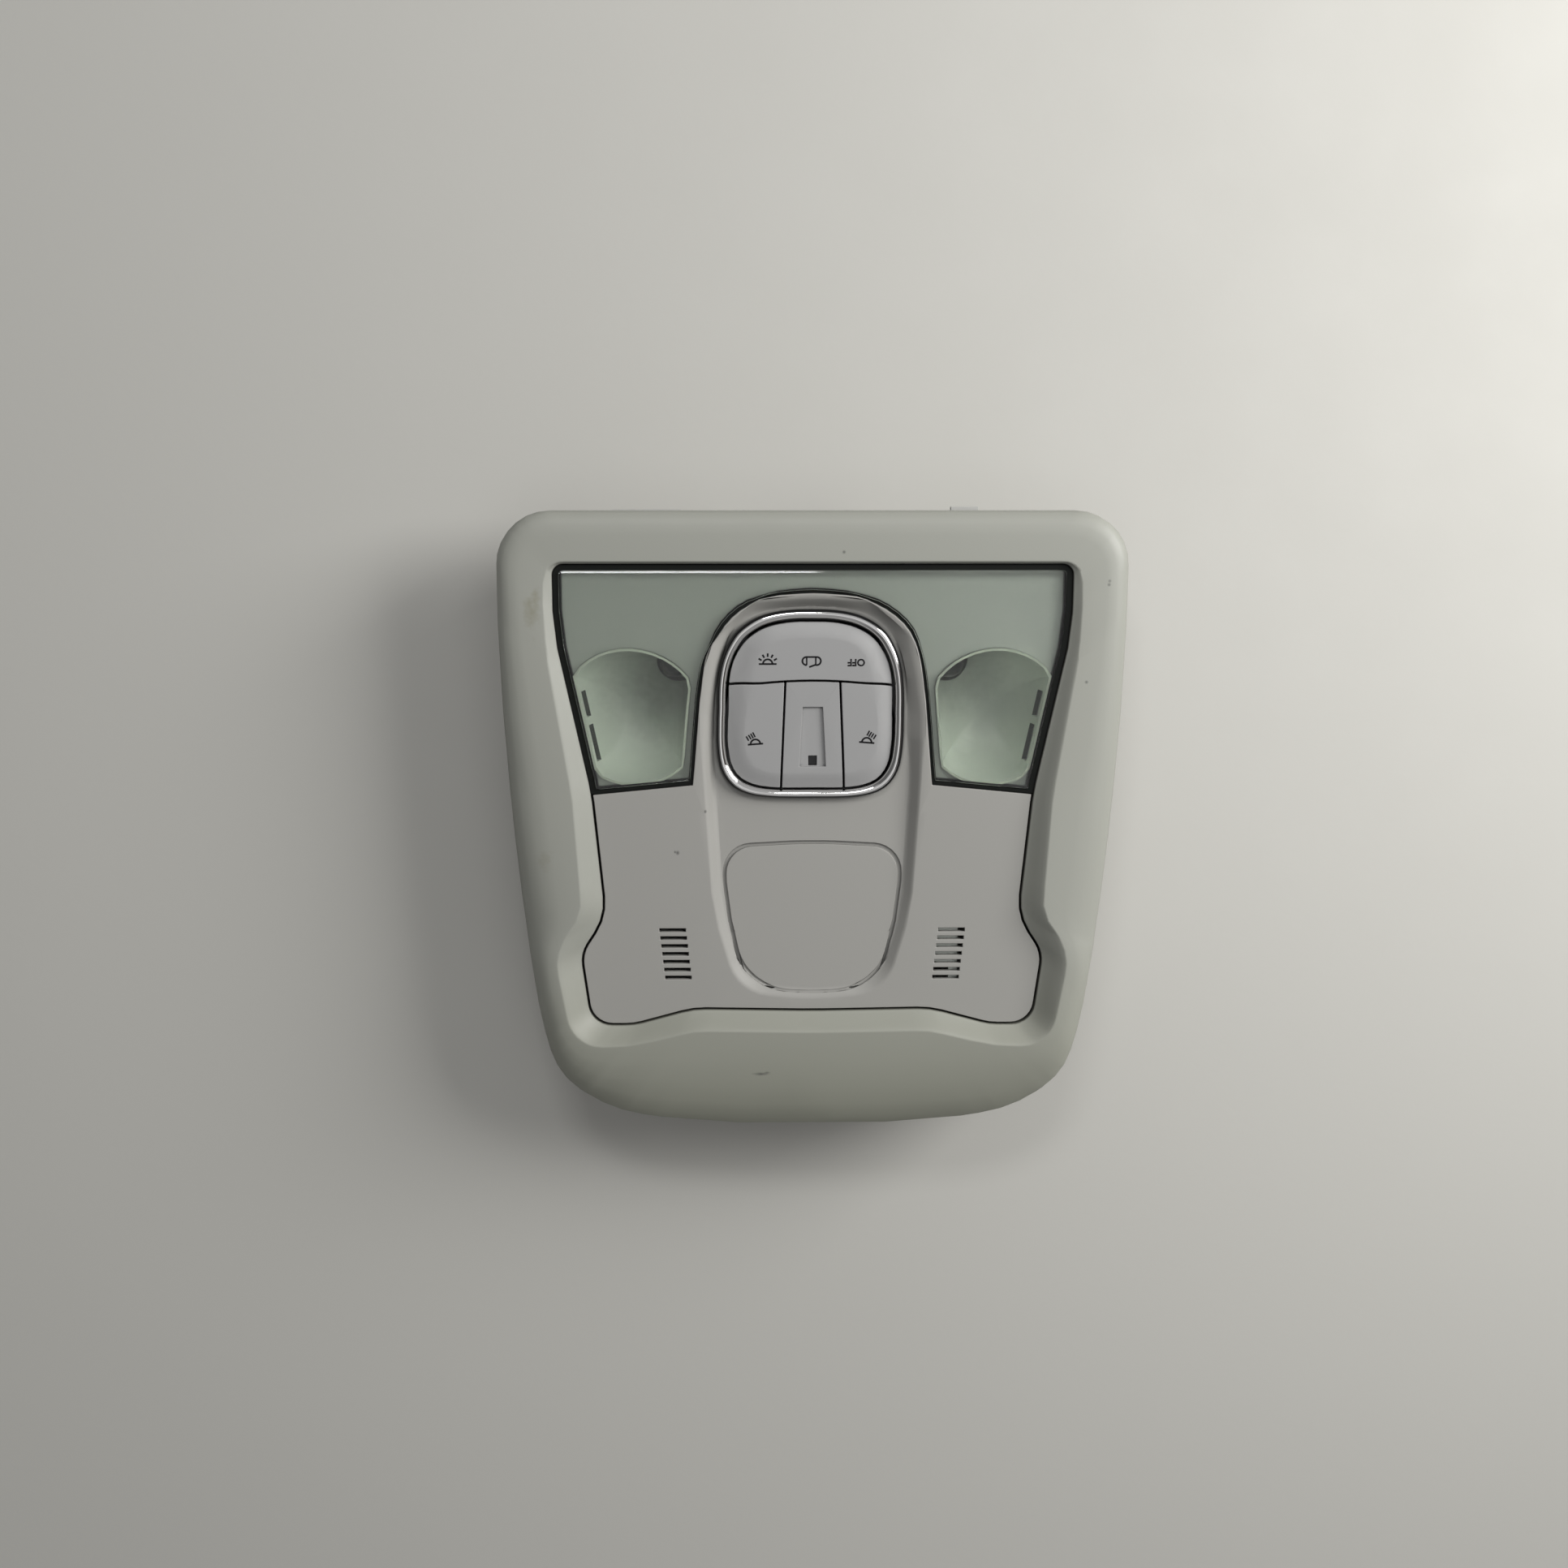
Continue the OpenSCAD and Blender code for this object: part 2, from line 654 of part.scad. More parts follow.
module bowl() {
    last = len(bowl_steps) - 1;
    loft(concat(
        [for (i = [last:-1:1])
            let (z = bowl_rim_z - bowl_depth * bowl_steps[i][0])
            bowl_ring(bowl_steps[i][1], bowl_t, z - (i > 2 ? bowl_t * 0.8 : 0))],
        [bowl_ring(1, bowl_t, reflector_under), bowl_ring(1, 0.8, reflector_top),
            bowl_ring(1, 0.8, bowl_rim_z)],
        [for (s = bowl_steps) bowl_ring(s[1], 0, bowl_rim_z - bowl_depth * s[0])]));
}

// A many-sided tube round the bulb, which meets the bowl's flats cleanly
module bulb_prism(r, z0, z1) {
    slab([for (a = [6:12:354]) [bulb_x + r * cos(a), bulb_y + r * sin(a)]], z0, z1);
}

// Two cooling slots in the bowl's outer wall, one behind the other
module bowl_vents() {
    function side_x(y) = lamp_x + side_room + (y - lamp_y) * side_lean;
    for (v = vent_spans)
        slab([
            [side_x(v[0]) - 2.6, v[0]], [side_x(v[0]) + 4, v[0]],
            [side_x(v[1]) + 4, v[1]], [side_x(v[1]) - 2.6, v[1]]], vent_low, vent_top);
}

module reflector() {
    bulb_hole = bulb_r + 1.5;
    color([0.93, 0.94, 0.92])
        difference() {
            union() {
                difference() {
                    union() {
                        lens_area(0.8, -1.4, 0, reflector_under, reflector_top);
                        both_sides()
                            bulb_prism(bulb_hole + 1.5, board_top + 0.8, reflector_under + 0.2);
                    }
                    both_sides()
                        slab([for (p = bowl_ring(1, 0.4, 0)) flat(p)], reflector_under - eps,
                            reflector_top + eps);
                    both_sides()
                        bowl_core();
                }
                both_sides()
                    bowl();
            }
            both_sides()
                bulb_prism(bulb_hole, board_top + 0.7, reflector_under - 1);
            both_sides()
                bowl_vents();
            both_sides()
                for (s = reflector_spots)
                    post(s.x, s.y, 1.5, reflector_under - eps, reflector_top - 0.5);
        }
}

module chrome_ring() {
    top = floor_z + ring_h;
    section = [[0, floor_z], [0, top - 1.4], [0.25, top - 0.65], [0.75, top - 0.15], [ring_band / 2, top],
        [ring_band - 0.75, top - 0.15], [ring_band - 0.25, top - 0.65], [ring_band, top - 1.4],
            [ring_band, floor_z]];
    color([0.83, 0.83, 0.84])
        loop_loft([for (s = section) at_height(rounded(outset(ring_corners, -s[0])), s[1])]);
}

// The crown that the buttons share: level in the middle, falling along the ring
module crown(low) {
    function ring(d, z) = at_height(rounded(outset(field_corners, d)), z);
    loft(concat(
        [ring(1.2, low), ring(1.2, button_top - button_crown * 1.4)],
        [for (k = crown_steps) ring(-crown_reach * k[0], button_top - button_crown * k[1])]));
}

// Everything on the windscreen side of the dividing arc, moved by d towards the tail
module past_arc(d, z0, z1) {
    r = split_r - d;
    slab(concat(
        [for (a = [66:1.5:114]) [r * cos(a), split_y - split_r + r * sin(a)]],
        [[-70, split_y - 14], [-70, 100], [70, 100], [70, split_y - 14]]), z0, z1);
}

// Between the two lines beside the centre piece, widened by d
module middle_strip(d, z0, z1) {
    far = 60;
    slope = (insert_tail - insert_front) / (split_y - ring_tail);
    top = insert_front + d - slope * far;
    low = insert_front + d + slope * (split_y + far);
    slab([[low, -far], [top, split_y + far], [-top, split_y + far], [-low, -far]], z0, z1);
}

module field(d, z0, z1) {
    slab(rounded(outset(field_corners, -d)), z0, z1);
}

module rocker_area(d, z0, z1) {
    intersection() {
        field(d, z0, z1);
        past_arc(-split_gap / 2 - d, z0 - eps, z1 + eps);
    }
}

module insert_area(d, z0, z1) {
    difference() {
        intersection() {
            field(d, z0, z1);
            middle_strip(-d, z0 - eps, z1 + eps);
        }
        past_arc(split_gap / 2 + d, z0 - eps, z1 + eps);
    }
}

module right_area(d, z0, z1) {
    difference() {
        intersection() {
            field(d, z0, z1);
            block(0, 60, -20, 100, z0 - eps, z1 + eps);
        }
        middle_strip(split_gap + d, z0 - 2 * eps, z1 + 2 * eps);
        past_arc(split_gap / 2 + d, z0 - 2 * eps, z1 + 2 * eps);
    }
}

// A cap: the given areas under the shared crown, hollow below
module cap() {
    difference() {
        intersection() {
            children(0);
            crown(skirt_z - 1);
        }
        children(1);
    }
}

module rocker_button() {
    y = rocker_y;
    color([0.68, 0.68, 0.70])
        difference() {
            union() {
                cap() {
                    rocker_area(0, skirt_z, button_top + 1);
                    rocker_area(skirt_t, skirt_z - 1, cap_under);
                }
                for (s = [-1, 1])
                    block(-2.6, 2.6, y + s * 3.7 - 1, y + s * 3.7 + 1, pivot_z - 3, cap_under + 0.4);
                block(-fork_half, fork_half, y - 1.5, y + 1.5, fork_z, cap_under + 0.4);
            }
            translate([0, y - 6, pivot_z])
                rotate([-90, 0, 0])
                    cylinder(r = pivot_r + 0.06, h = 12);
            block(-knob_half - 0.25, knob_half + 0.25, y - 2, y + 2, fork_z - eps, fork_z + 4);
        }
}
rocker_y = split_y + 9;
knob_half = 1;
fork_half = 2.6;
fork_z = board_top + 5.6;
knob_top = fork_z + 2.3;

module push_button() {
    cap() {
        right_area(0, skirt_z, button_top + 1);
        right_area(skirt_t, skirt_z - 1, cap_under);
    }
    post(plunger_x, plunger_y, 2.2, plunger_top, cap_under + 0.4);
}

module right_button() {
    color([0.68, 0.68, 0.70])
        push_button();
}

module left_button() {
    color([0.68, 0.68, 0.70])
        mirror([1, 0, 0])
            push_button();
}

guide_x = 1.3;
guide_y = 23.45;
guide_half = 1.65;

module centre_insert() {
    column_x = 7;
    column_y = [16, 46];
    recess_y = [guide_y - 1.9, 42.05];
    color([0.69, 0.69, 0.71])
        difference() {
            union() {
                cap() {
                    insert_area(0, skirt_z, button_top + 1);
                    insert_area(skirt_t, skirt_z - 1, cap_under);
                }
                difference() {
                    block(-column_x, column_x, column_y[0], column_y[1], frame_floor, cap_under + 0.4);
                    block(-column_x + skirt_t, column_x - skirt_t, column_y[0] + skirt_t,
                        column_y[1] - skirt_t,
                        frame_floor - eps, cap_under);
                }
            }
            slab([[-4.5, recess_y[0]], [4.5, recess_y[0]], [3.4, recess_y[1]], [-3.4, recess_y[1]]],
                button_top - recess_depth, button_top + 1);
            block(-guide_x - 0.15, guide_x + 0.15, guide_y - guide_half - 0.15, guide_y + guide_half + 0.15,
                cap_under - eps, button_top + 1);
        }
}

module light_guide() {
    color([0.9, 0.92, 0.9, 0.7])
        union() {
            block(-guide_x, guide_x, guide_y - guide_half, guide_y + guide_half, board_top + 2.4,
                button_top - recess_depth - 1);
            block(-guide_x - 1.2, guide_x + 1.2, guide_y - guide_half - 1.2, guide_y + guide_half + 1.2,
                frame_floor, frame_floor + 1);
        }
}

module switch_frame() {
    floor_low = frame_floor - frame_floor_t;
    post_top = pivot_z + 2;
    color([0.2, 0.2, 0.21])
        difference() {
            union() {
                difference() {
                    slab(rounded(outset(field_corners, frame_gap + frame_t)), board_top, floor_under);
                    slab(rounded(outset(field_corners, frame_gap)), board_top - eps, floor_low);
                    slab(rounded(outset(field_corners, frame_gap)), frame_floor, floor_under + eps);
                }
                both_sides()
                    block(insert_front - 0.3, insert_front + 1.3, plunger_y - 8, split_y - 4,
                        frame_floor - eps, skirt_z - 1.8);
                for (s = [-1, 1])
                    block(-3, 3, rocker_y + s * 6 - 1, rocker_y + s * 6 + 1, frame_floor - eps, post_top);
            }
            both_sides()
                post(plunger_x, plunger_y, 2.6, floor_low - eps, frame_floor + eps);
            block(-fork_half - 1, fork_half + 1, rocker_y - 2, rocker_y + 2, floor_low - eps,
                frame_floor + eps);
            block(-guide_x - 0.15, guide_x + 0.15, guide_y - guide_half - 0.15, guide_y + guide_half + 0.15,
                floor_low - eps, frame_floor + eps);
            translate([0, rocker_y - 8, pivot_z])
                rotate([-90, 0, 0])
                    cylinder(r = pivot_r, h = 16);
        }
}

module rocker_pin() {
    color([0.75, 0.75, 0.76])
        translate([0, rocker_y - 7, pivot_z])
            rotate([-90, 0, 0])
                cylinder(r = pivot_r, h = 14);
}

knob_low = board_top + 1.5;
module slide_knob() {
    color([0.15, 0.15, 0.16])
        block(-knob_half, knob_half, rocker_y - 1, rocker_y + 1, knob_low, knob_top);
}

module slide_switch() {
    color([0.7, 0.7, 0.72])
        difference() {
            block(-5.5, 5.5, rocker_y - 3.5, rocker_y + 3.5, board_top, board_top + 4.2);
            block(-knob_half - 1.4, knob_half + 1.4, rocker_y - 1.08, rocker_y + 1.08, knob_low - 0.1,
                board_top + 5);
        }
}

module push_switches() {
    half = 6;
    color([0.16, 0.16, 0.17])
        both_sides()
            difference() {
                block(plunger_x - half, plunger_x + half, plunger_y - half, plunger_y + half, board_top,
                    tact_top);
                post(plunger_x, plunger_y, plunger_r + 0.08, plunger_low - press_travel - 0.2,
                    tact_top + eps);
            }
}

module right_plunger() {
    color([0.8, 0.8, 0.78])
        post(plunger_x, plunger_y, plunger_r, plunger_low, plunger_top);
}

module left_plunger() {
    color([0.8, 0.8, 0.78])
        post(-plunger_x, plunger_y, plunger_r, plunger_low, plunger_top);
}

module ambient_led() {
    color([0.95, 0.93, 0.8])
        block(-1.6, 1.6, guide_y - 1.4, guide_y + 1.4, board_top, board_top + 1.2);
}

board_half = 33;
board_y = [10, 90];
board_pegs = [[30.4, 12.6], [29.5, 86]];
pin_rows = [-1, 1];
pin_back_y = 82;

function pin_x(i) = (i - (pin_count - 1) / 2) * pin_pitch;
function pin_tail_y(r) = pin_back_y + (r > 0 ? pin_pitch : 0);

module circuit_board() {
    color([0.12, 0.34, 0.2])
        difference() {
            block(-board_half, board_half, board_y[0], board_y[1], board_z, board_top);
            both_sides()
                for (p = board_pegs)
                    post(p.x, p.y, 1.3, board_z - eps, board_top + eps);
            for (r = pin_rows, i = [0:pin_count - 1])
                post(pin_x(i), pin_tail_y(r), 0.55, board_z - eps, board_top + eps);
        }
}

shell_mouth = housing_front + 4;
shell_wall_y = shell_mouth - 12;
shell_low = board_z - connector_h;
pin_half = 0.32;

module connector_shell() {
    half = connector_w / 2;
    color([0.88, 0.88, 0.85])
        difference() {
            block(-half, half, board_y[1] - 10, shell_mouth, shell_low, board_z);
            block(-half + connector_t, half - connector_t, shell_wall_y, shell_mouth + eps,
                shell_low + connector_t, board_z - connector_t);
            block(-half + connector_t, half - connector_t, board_y[1] - 10 - eps, shell_wall_y - 1.8,
                shell_low - eps,
                board_z + eps);
            block(-3, 3, shell_mouth - 5, shell_mouth + eps, shell_low - eps, shell_low + connector_t + eps);
            for (r = pin_rows, i = [0:pin_count - 1])
                block(pin_x(i) - pin_half, pin_x(i) + pin_half, shell_wall_y - 3, shell_wall_y + 1,
                    shell_low + connector_h / 2 + r * pin_pitch / 2 - pin_half,
                    shell_low + connector_h / 2 + r * pin_pitch / 2 + pin_half);
        }
}

module connector_pins() {
    color([0.8, 0.72, 0.4])
        for (r = pin_rows, i = [0:pin_count - 1]) {
            z = shell_low + connector_h / 2 + r * pin_pitch / 2;
            y = pin_tail_y(r);
            union() {
                block(pin_x(i) - pin_half, pin_x(i) + pin_half, y - pin_half, shell_wall_y + 7,
                    z - pin_half, z + pin_half);
                block(pin_x(i) - pin_half, pin_x(i) + pin_half, y - pin_half, y + pin_half, z - pin_half,
                    board_top + 0.8);
            }
        }
}

holder_r = 6.4;
holder_top = board_top + 0.4;

module bulb_holder() {
    difference() {
        union() {
            post(bulb_x, bulb_y, 8.4, tray_z - 2.2, tray_z);
            post(bulb_x, bulb_y, holder_r, tray_z - eps, holder_top);
            block(bulb_x - 6, bulb_x + 6, bulb_y - 1.5, bulb_y + 1.5, 1.6, tray_z - 2.1);
            intersection() {
                block(bulb_x - 9, bulb_x + 9, bulb_y - 1.5, bulb_y + 1.5, tray_floor, tray_floor + 1.2);
                post(bulb_x, bulb_y, 7.8, tray_floor - eps, tray_floor + 2);
            }
        }
        block(bulb_x - 4.8, bulb_x + 4.8, bulb_y - 1.3, bulb_y + 1.3, board_z, holder_top + eps);
    }
}

module right_bulb_holder() {
    color([0.24, 0.24, 0.25])
        bulb_holder();
}

module left_bulb_holder() {
    color([0.24, 0.24, 0.25])
        mirror([1, 0, 0])
            bulb_holder();
}

module bulb() {
    glass_z = board_z + 5;
    glass_top = 36;
    union() {
        block(bulb_x - 4.7, bulb_x + 4.7, bulb_y - 1.2, bulb_y + 1.2, board_z, glass_z + 0.5);
        translate([bulb_x, bulb_y, 0])
            rotate_extrude($fn = 48)
                polygon(concat(
                    [[0, glass_z], [bulb_r * 0.7, glass_z], [bulb_r, glass_z + 2]],
                    [for (a = [0:15:90]) [bulb_r * cos(a), glass_top - bulb_r + bulb_r * sin(a)]]));
    }
}

module right_bulb() {
    color([0.95, 0.95, 0.92, 0.6])
        bulb();
}

module left_bulb() {
    color([0.95, 0.95, 0.92, 0.6])
        mirror([1, 0, 0])
            bulb();
}

module contact() {
    block(board_half - 2, bulb_x - holder_r - 0.3, bulb_y - 2.2, bulb_y + 1.8, board_top, board_top + 0.4);
}

module right_contact() {
    color([0.8, 0.68, 0.35])
        contact();
}

module left_contact() {
    color([0.8, 0.68, 0.35])
        mirror([1, 0, 0])
            contact();
}

// An L-shaped module under the right grille, seen through its slots
module microphone() {
    y = slot_y;
    low = slot_y - (slot_count - 1) * slot_pitch;
    color([0.93, 0.93, 0.92])
        union() {
            block(slot_x - slot_len / 2 - 1.2, slot_x + slot_len / 2 - 2.2, low + 1.6 * slot_pitch, y + 2,
                plate_under - 8, plate_under);
            block(slot_x - 0.6, slot_x + slot_len / 2 - 2.2, low - 2, low + 1.7 * slot_pitch,
                plate_under - 8, plate_under);
        }
}

module housing_ears() {
    for (s = boss_spots)
        union() {
            block(housing_half(s.y) - 1, s.x, s.y - 3.6, s.y + 3.6, housing_top - 2.4, housing_top);
            post(s.x, s.y, 3.6, housing_top - 2.4, housing_top);
        }
}

// An arm on the windscreen wall with a gusset under it
module locating_arm(x, width, reach, gusset) {
    block(x - width / 2, x + width / 2, housing_front - 1, reach, seat_z - 5.5, seat_z - 3);
    for (s = gusset)
        translate([x + s - 0.9, 0, 0])
            rotate([90, 0, 90])
                linear_extrude(height = 1.8)
                    polygon([[housing_front - 1, tray_floor + 6], [housing_front, tray_floor + 6],
                        [reach - 1.5, seat_z - 5.4], [housing_front - 1, seat_z - 5.4]]);
}

module back_ribs() {
    low = tray_z - 3;
    both_sides()
        union() {
            for (y = [-74, -40, -6, 24])
                block(box_w / 2 + 4, housing_half(y) - 8, y - 0.9, y + 0.9, low, tray_z + eps);
            for (x = [box_w / 2 + 5, 74])
                block(x - 0.9, x + 0.9, -75, 24.9, low, tray_z + eps);
        }
}

module rear_housing() {
    wall = housing_t;
    box_half = box_w / 2;
    shell_gap = 0.2;
    color([0.17, 0.17, 0.18])
        difference() {
            union() {
                difference() {
                    union() {
                        slab(rounded(housing_corners), tray_z, housing_top);
                        block(-box_half, box_half, -box_tail, housing_front, 0, tray_z + eps);
                    }
                    slab(rounded(outset(housing_corners, -wall)), tray_floor, housing_top + eps);
                    block(-box_half + wall, box_half - wall, -box_tail + wall, housing_front - wall, wall,
                        tray_floor + eps);
                }
                both_sides()
                    union() {
                        for (s = panel_spots)
                            post(s.x, s.y, 4.4, tray_floor - eps, panel_post_z);
                        for (s = reflector_spots)
                            union() {
                                post(s.x, s.y, 3, tray_floor - eps, reflector_under);
                                post(s.x, s.y, 1.4, reflector_under - eps, reflector_top - 0.7);
                            }
                        for (s = board_pegs)
                            union() {
                                post(s.x, s.y, 2.2, wall - eps, board_z);
                                post(s.x, s.y, 1.2, board_z - eps, board_top + 0.6);
                            }
                        post(lamp_x, lamp_y, 5, tray_floor - eps, bowl_low - bowl_t * 0.8);
                        post(peg_x, -peg_y, peg_r, 0, tray_z + eps);
                        housing_ears();
                    }
                back_ribs();
                locating_arm(hook_x, hook_w, bezel_end + hook_reach, [0]);
                locating_arm(-tongue_x, tongue_w, bezel_end + 0.2, [-8, 8]);
            }
            both_sides()
                union() {
                    for (s = panel_spots)
                        union() {
                            post(s.x, s.y, 3, tray_z - 4, panel_post_z - 3);
                            post(s.x, s.y, screw_r + 0.2, panel_post_z - 4, panel_post_z + eps);
                        }
                    for (s = boss_spots)
                        post(s.x, s.y, screw_r + 0.2, housing_top - 3, housing_top + eps);
                    post(bulb_x, bulb_y, holder_r + 0.2, tray_z - 1, tray_floor + eps);
                    block(bulb_x - 1.8, bulb_x + 1.8, bulb_y - 8, bulb_y + 8, tray_z - eps, tray_floor + eps);
                }
            block(-connector_w / 2 - shell_gap, connector_w / 2 + shell_gap, housing_front - wall - 1,
                housing_front + 1, shell_low - shell_gap, board_z + shell_gap);
        }
}

clip_t = 0.8;
clip_x = 40;

module spring_clips() {
    y = -housing_tail;
    t = clip_t;
    color([0.6, 0.6, 0.6])
        for (s = [-1, 1])
            translate([s * clip_x - 6, 0, 0])
                rotate([90, 0, 90])
                    linear_extrude(height = 12)
                        polygon([[y, 13], [y, 29.6], [y - 0.5, 30.4], [y - 1.3, 30.2], [y - 8, 22.6],
                            [y - 4.4, 14.2],
                            [y - 3.6, 14.6], [y - 6.9, 22.4], [y - t, 29], [y - t, 13]]);
}

module screw(x, y, z, head_r) {
    post(x, y, head_r, z - 1.8, z);
    post(x, y, screw_r - 0.1, z - eps, z + screw_len - 1);
}

module bezel_screws() {
    color([0.55, 0.55, 0.56])
        both_sides()
            for (s = boss_spots)
                union()
                    screw(s.x, s.y, housing_top - 2.4, 2.4);
}

module panel_screws() {
    color([0.55, 0.55, 0.56])
        both_sides()
            for (s = panel_spots)
                union()
                    screw(s.x, s.y, panel_post_z - 3, 2.7);
}

bezel();
control_panel();
lens();
lens_gasket();
reflector();
chrome_ring();
rocker_button();
left_button();
right_button();
centre_insert();
light_guide();
switch_frame();
rocker_pin();
slide_knob();
slide_switch();
push_switches();
left_plunger();
right_plunger();
ambient_led();
circuit_board();
connector_shell();
connector_pins();
rear_housing();
left_bulb();
right_bulb();
left_bulb_holder();
right_bulb_holder();
left_contact();
right_contact();
microphone();
spring_clips();
bezel_screws();
panel_screws();
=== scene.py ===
import json
from math import atan2, cos, degrees, exp, hypot, pi, radians, sin

import bmesh
import bpy
from mathutils import Matrix, Vector
from mathutils.bvhtree import BVHTree


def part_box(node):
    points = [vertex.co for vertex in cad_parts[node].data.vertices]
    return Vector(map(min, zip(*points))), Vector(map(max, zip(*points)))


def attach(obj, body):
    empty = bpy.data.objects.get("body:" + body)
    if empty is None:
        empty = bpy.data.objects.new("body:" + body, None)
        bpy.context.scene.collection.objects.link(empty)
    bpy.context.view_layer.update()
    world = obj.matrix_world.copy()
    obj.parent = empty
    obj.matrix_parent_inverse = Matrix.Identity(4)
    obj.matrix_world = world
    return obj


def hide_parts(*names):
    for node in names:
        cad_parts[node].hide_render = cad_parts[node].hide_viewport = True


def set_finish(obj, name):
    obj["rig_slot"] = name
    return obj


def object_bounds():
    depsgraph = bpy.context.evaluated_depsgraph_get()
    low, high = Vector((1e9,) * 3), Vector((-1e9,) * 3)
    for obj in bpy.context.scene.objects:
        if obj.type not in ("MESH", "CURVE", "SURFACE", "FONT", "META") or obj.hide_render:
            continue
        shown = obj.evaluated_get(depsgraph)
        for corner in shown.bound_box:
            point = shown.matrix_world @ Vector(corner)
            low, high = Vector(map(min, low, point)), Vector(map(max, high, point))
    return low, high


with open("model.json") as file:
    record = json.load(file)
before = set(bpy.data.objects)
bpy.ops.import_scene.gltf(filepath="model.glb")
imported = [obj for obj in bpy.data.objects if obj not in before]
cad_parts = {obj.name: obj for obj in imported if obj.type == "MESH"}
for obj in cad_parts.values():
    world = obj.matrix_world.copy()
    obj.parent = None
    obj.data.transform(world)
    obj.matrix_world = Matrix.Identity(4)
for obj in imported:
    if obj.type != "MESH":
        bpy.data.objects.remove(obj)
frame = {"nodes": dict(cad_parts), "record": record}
cad_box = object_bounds()
scene = bpy.context.scene
mm = 0.001


# Camera, light and floor

FOCAL_LENGTH = 38.59
SENSOR_WIDTH = 36.0
EYE = (-0.01563, 0.11526, 0.60825)
CAMERA_PITCH = -10.0
CAMERA_YAW = -0.6

# how bright the room is by the height of the look: low walls, a dim band, light overhead
ROOM_BY_HEIGHT = ((0.22, (0.5, 0.495, 0.48)), (0.32, (0.07, 0.064, 0.06)), (0.85, (0.09, 0.085, 0.08)),
                  (0.89, (1.0, 1.0, 1.0)), (0.965, (1.0, 1.0, 1.0)), (0.975, (0.5, 0.5, 0.5)))
# the walls on the windscreen side, the tail side and the left: axis, start, full, grey
ROOM_WALLS = (("Y", 0.2, 0.42, 0.4), ("Y", -0.25, -0.6, 0.3), ("X", -0.12, -0.55, 0.12))
BACKDROP_GREY = 0.5

WHITE_LIGHT = (1.0, 1.0, 1.0)
WINDOW_LIGHT = (1.0, 0.99, 0.97)
FLOOR_SIZE = 6.0
FLOOR_GAP = 0.0003


def look_down_camera():
    """The photograph's own viewpoint: almost straight down on the face."""
    lens = bpy.data.cameras.new("face_camera")
    lens.lens = FOCAL_LENGTH
    lens.sensor_width = SENSOR_WIDTH
    lens.clip_start = 0.01
    camera = bpy.data.objects.new("face_camera", lens)
    camera.location = EYE
    camera.rotation_euler = (radians(CAMERA_PITCH), radians(CAMERA_YAW), 0.0)
    scene.collection.objects.link(camera)
    scene.camera = camera


def soft_lamp(name, place, target, size, power, tint=WHITE_LIGHT):
    """A square-cornered area lamp at a place, aimed at a target."""
    lamp = bpy.data.lights.new(name, "AREA")
    lamp.shape = "RECTANGLE"
    lamp.size, lamp.size_y = size
    lamp.energy = power
    lamp.color = tint
    holder = bpy.data.objects.new(name, lamp)
    holder.location = place
    aim = Vector(target) - Vector(place)
    holder.rotation_euler = aim.to_track_quat("-Z", "Y").to_euler()
    scene.collection.objects.link(holder)


def lamps():
    """A window on the right, and a small lamp ahead that lights the lens's windscreen edge."""
    soft_lamp("window_side", (0.68, 0.36, 0.5), (0, 0, 0.03), (0.4, 0.5), 9.0, WINDOW_LIGHT)
    soft_lamp("edge_glint", (-0.13, 0.83, 1.02), (-0.05, 0.09, 0.04), (0.34, 0.2), 3.2)


def mixed(nodes, links, factor, colour, grey):
    """The colour, turned to a plain grey where factor is high."""
    mix = nodes.new("ShaderNodeMix")
    mix.data_type = "RGBA"
    mix.inputs["B"].default_value = (grey, grey, grey, 1)
    links.new(factor, mix.inputs["Factor"])
    links.new(colour, mix.inputs["A"])
    return mix.outputs["Result"]


def studio_world():
    """A plain room: its light changes with the height and the side that a surface looks to."""
    world = bpy.data.worlds.new("plain_room")
    world.use_nodes = True
    nodes, links = world.node_tree.nodes, world.node_tree.links
    nodes.clear()
    out = nodes.new("ShaderNodeOutputWorld")
    back = nodes.new("ShaderNodeBackground")
    where = nodes.new("ShaderNodeTexCoord")
    split = nodes.new("ShaderNodeSeparateXYZ")
    ramp = nodes.new("ShaderNodeValToRGB")
    stops = ramp.color_ramp.elements
    while len(stops) < len(ROOM_BY_HEIGHT):
        stops.new(0.5)
    for stop, (height, colour) in zip(stops, ROOM_BY_HEIGHT):
        stop.position = height
        stop.color = (*colour, 1)
    links.new(where.outputs["Generated"], split.inputs["Vector"])
    links.new(split.outputs["Z"], ramp.inputs["Fac"])
    colour = ramp.outputs["Color"]
    for axis, start, full, grey in ROOM_WALLS:
        side = nodes.new("ShaderNodeMapRange")
        side.interpolation_type = "SMOOTHSTEP"
        side.inputs["From Min"].default_value = start
        side.inputs["From Max"].default_value = full
        links.new(split.outputs[axis], side.inputs["Value"])
        colour = mixed(nodes, links, side.outputs["Result"], colour, grey)
    rays = nodes.new("ShaderNodeLightPath")
    colour = mixed(nodes, links, rays.outputs["Is Camera Ray"], colour, BACKDROP_GREY)
    links.new(colour, back.inputs["Color"])
    back.inputs["Strength"].default_value = 1.0
    links.new(back.outputs["Background"], out.inputs["Surface"])
    scene.world = world


# Shared shader groups

CELLS_PER_GRAIN = 0.7
CELL_DEPTH = 0.5
CLOUDS_PER_METRE = 26.0
RAGS_PER_METRE = 420.0
RAG_SPREAD = 4.0
OPEN_FACE = 0.82
DEEP_GAP = 0.3
CLOUD_LOW, CLOUD_HIGH = 0.3, 0.7

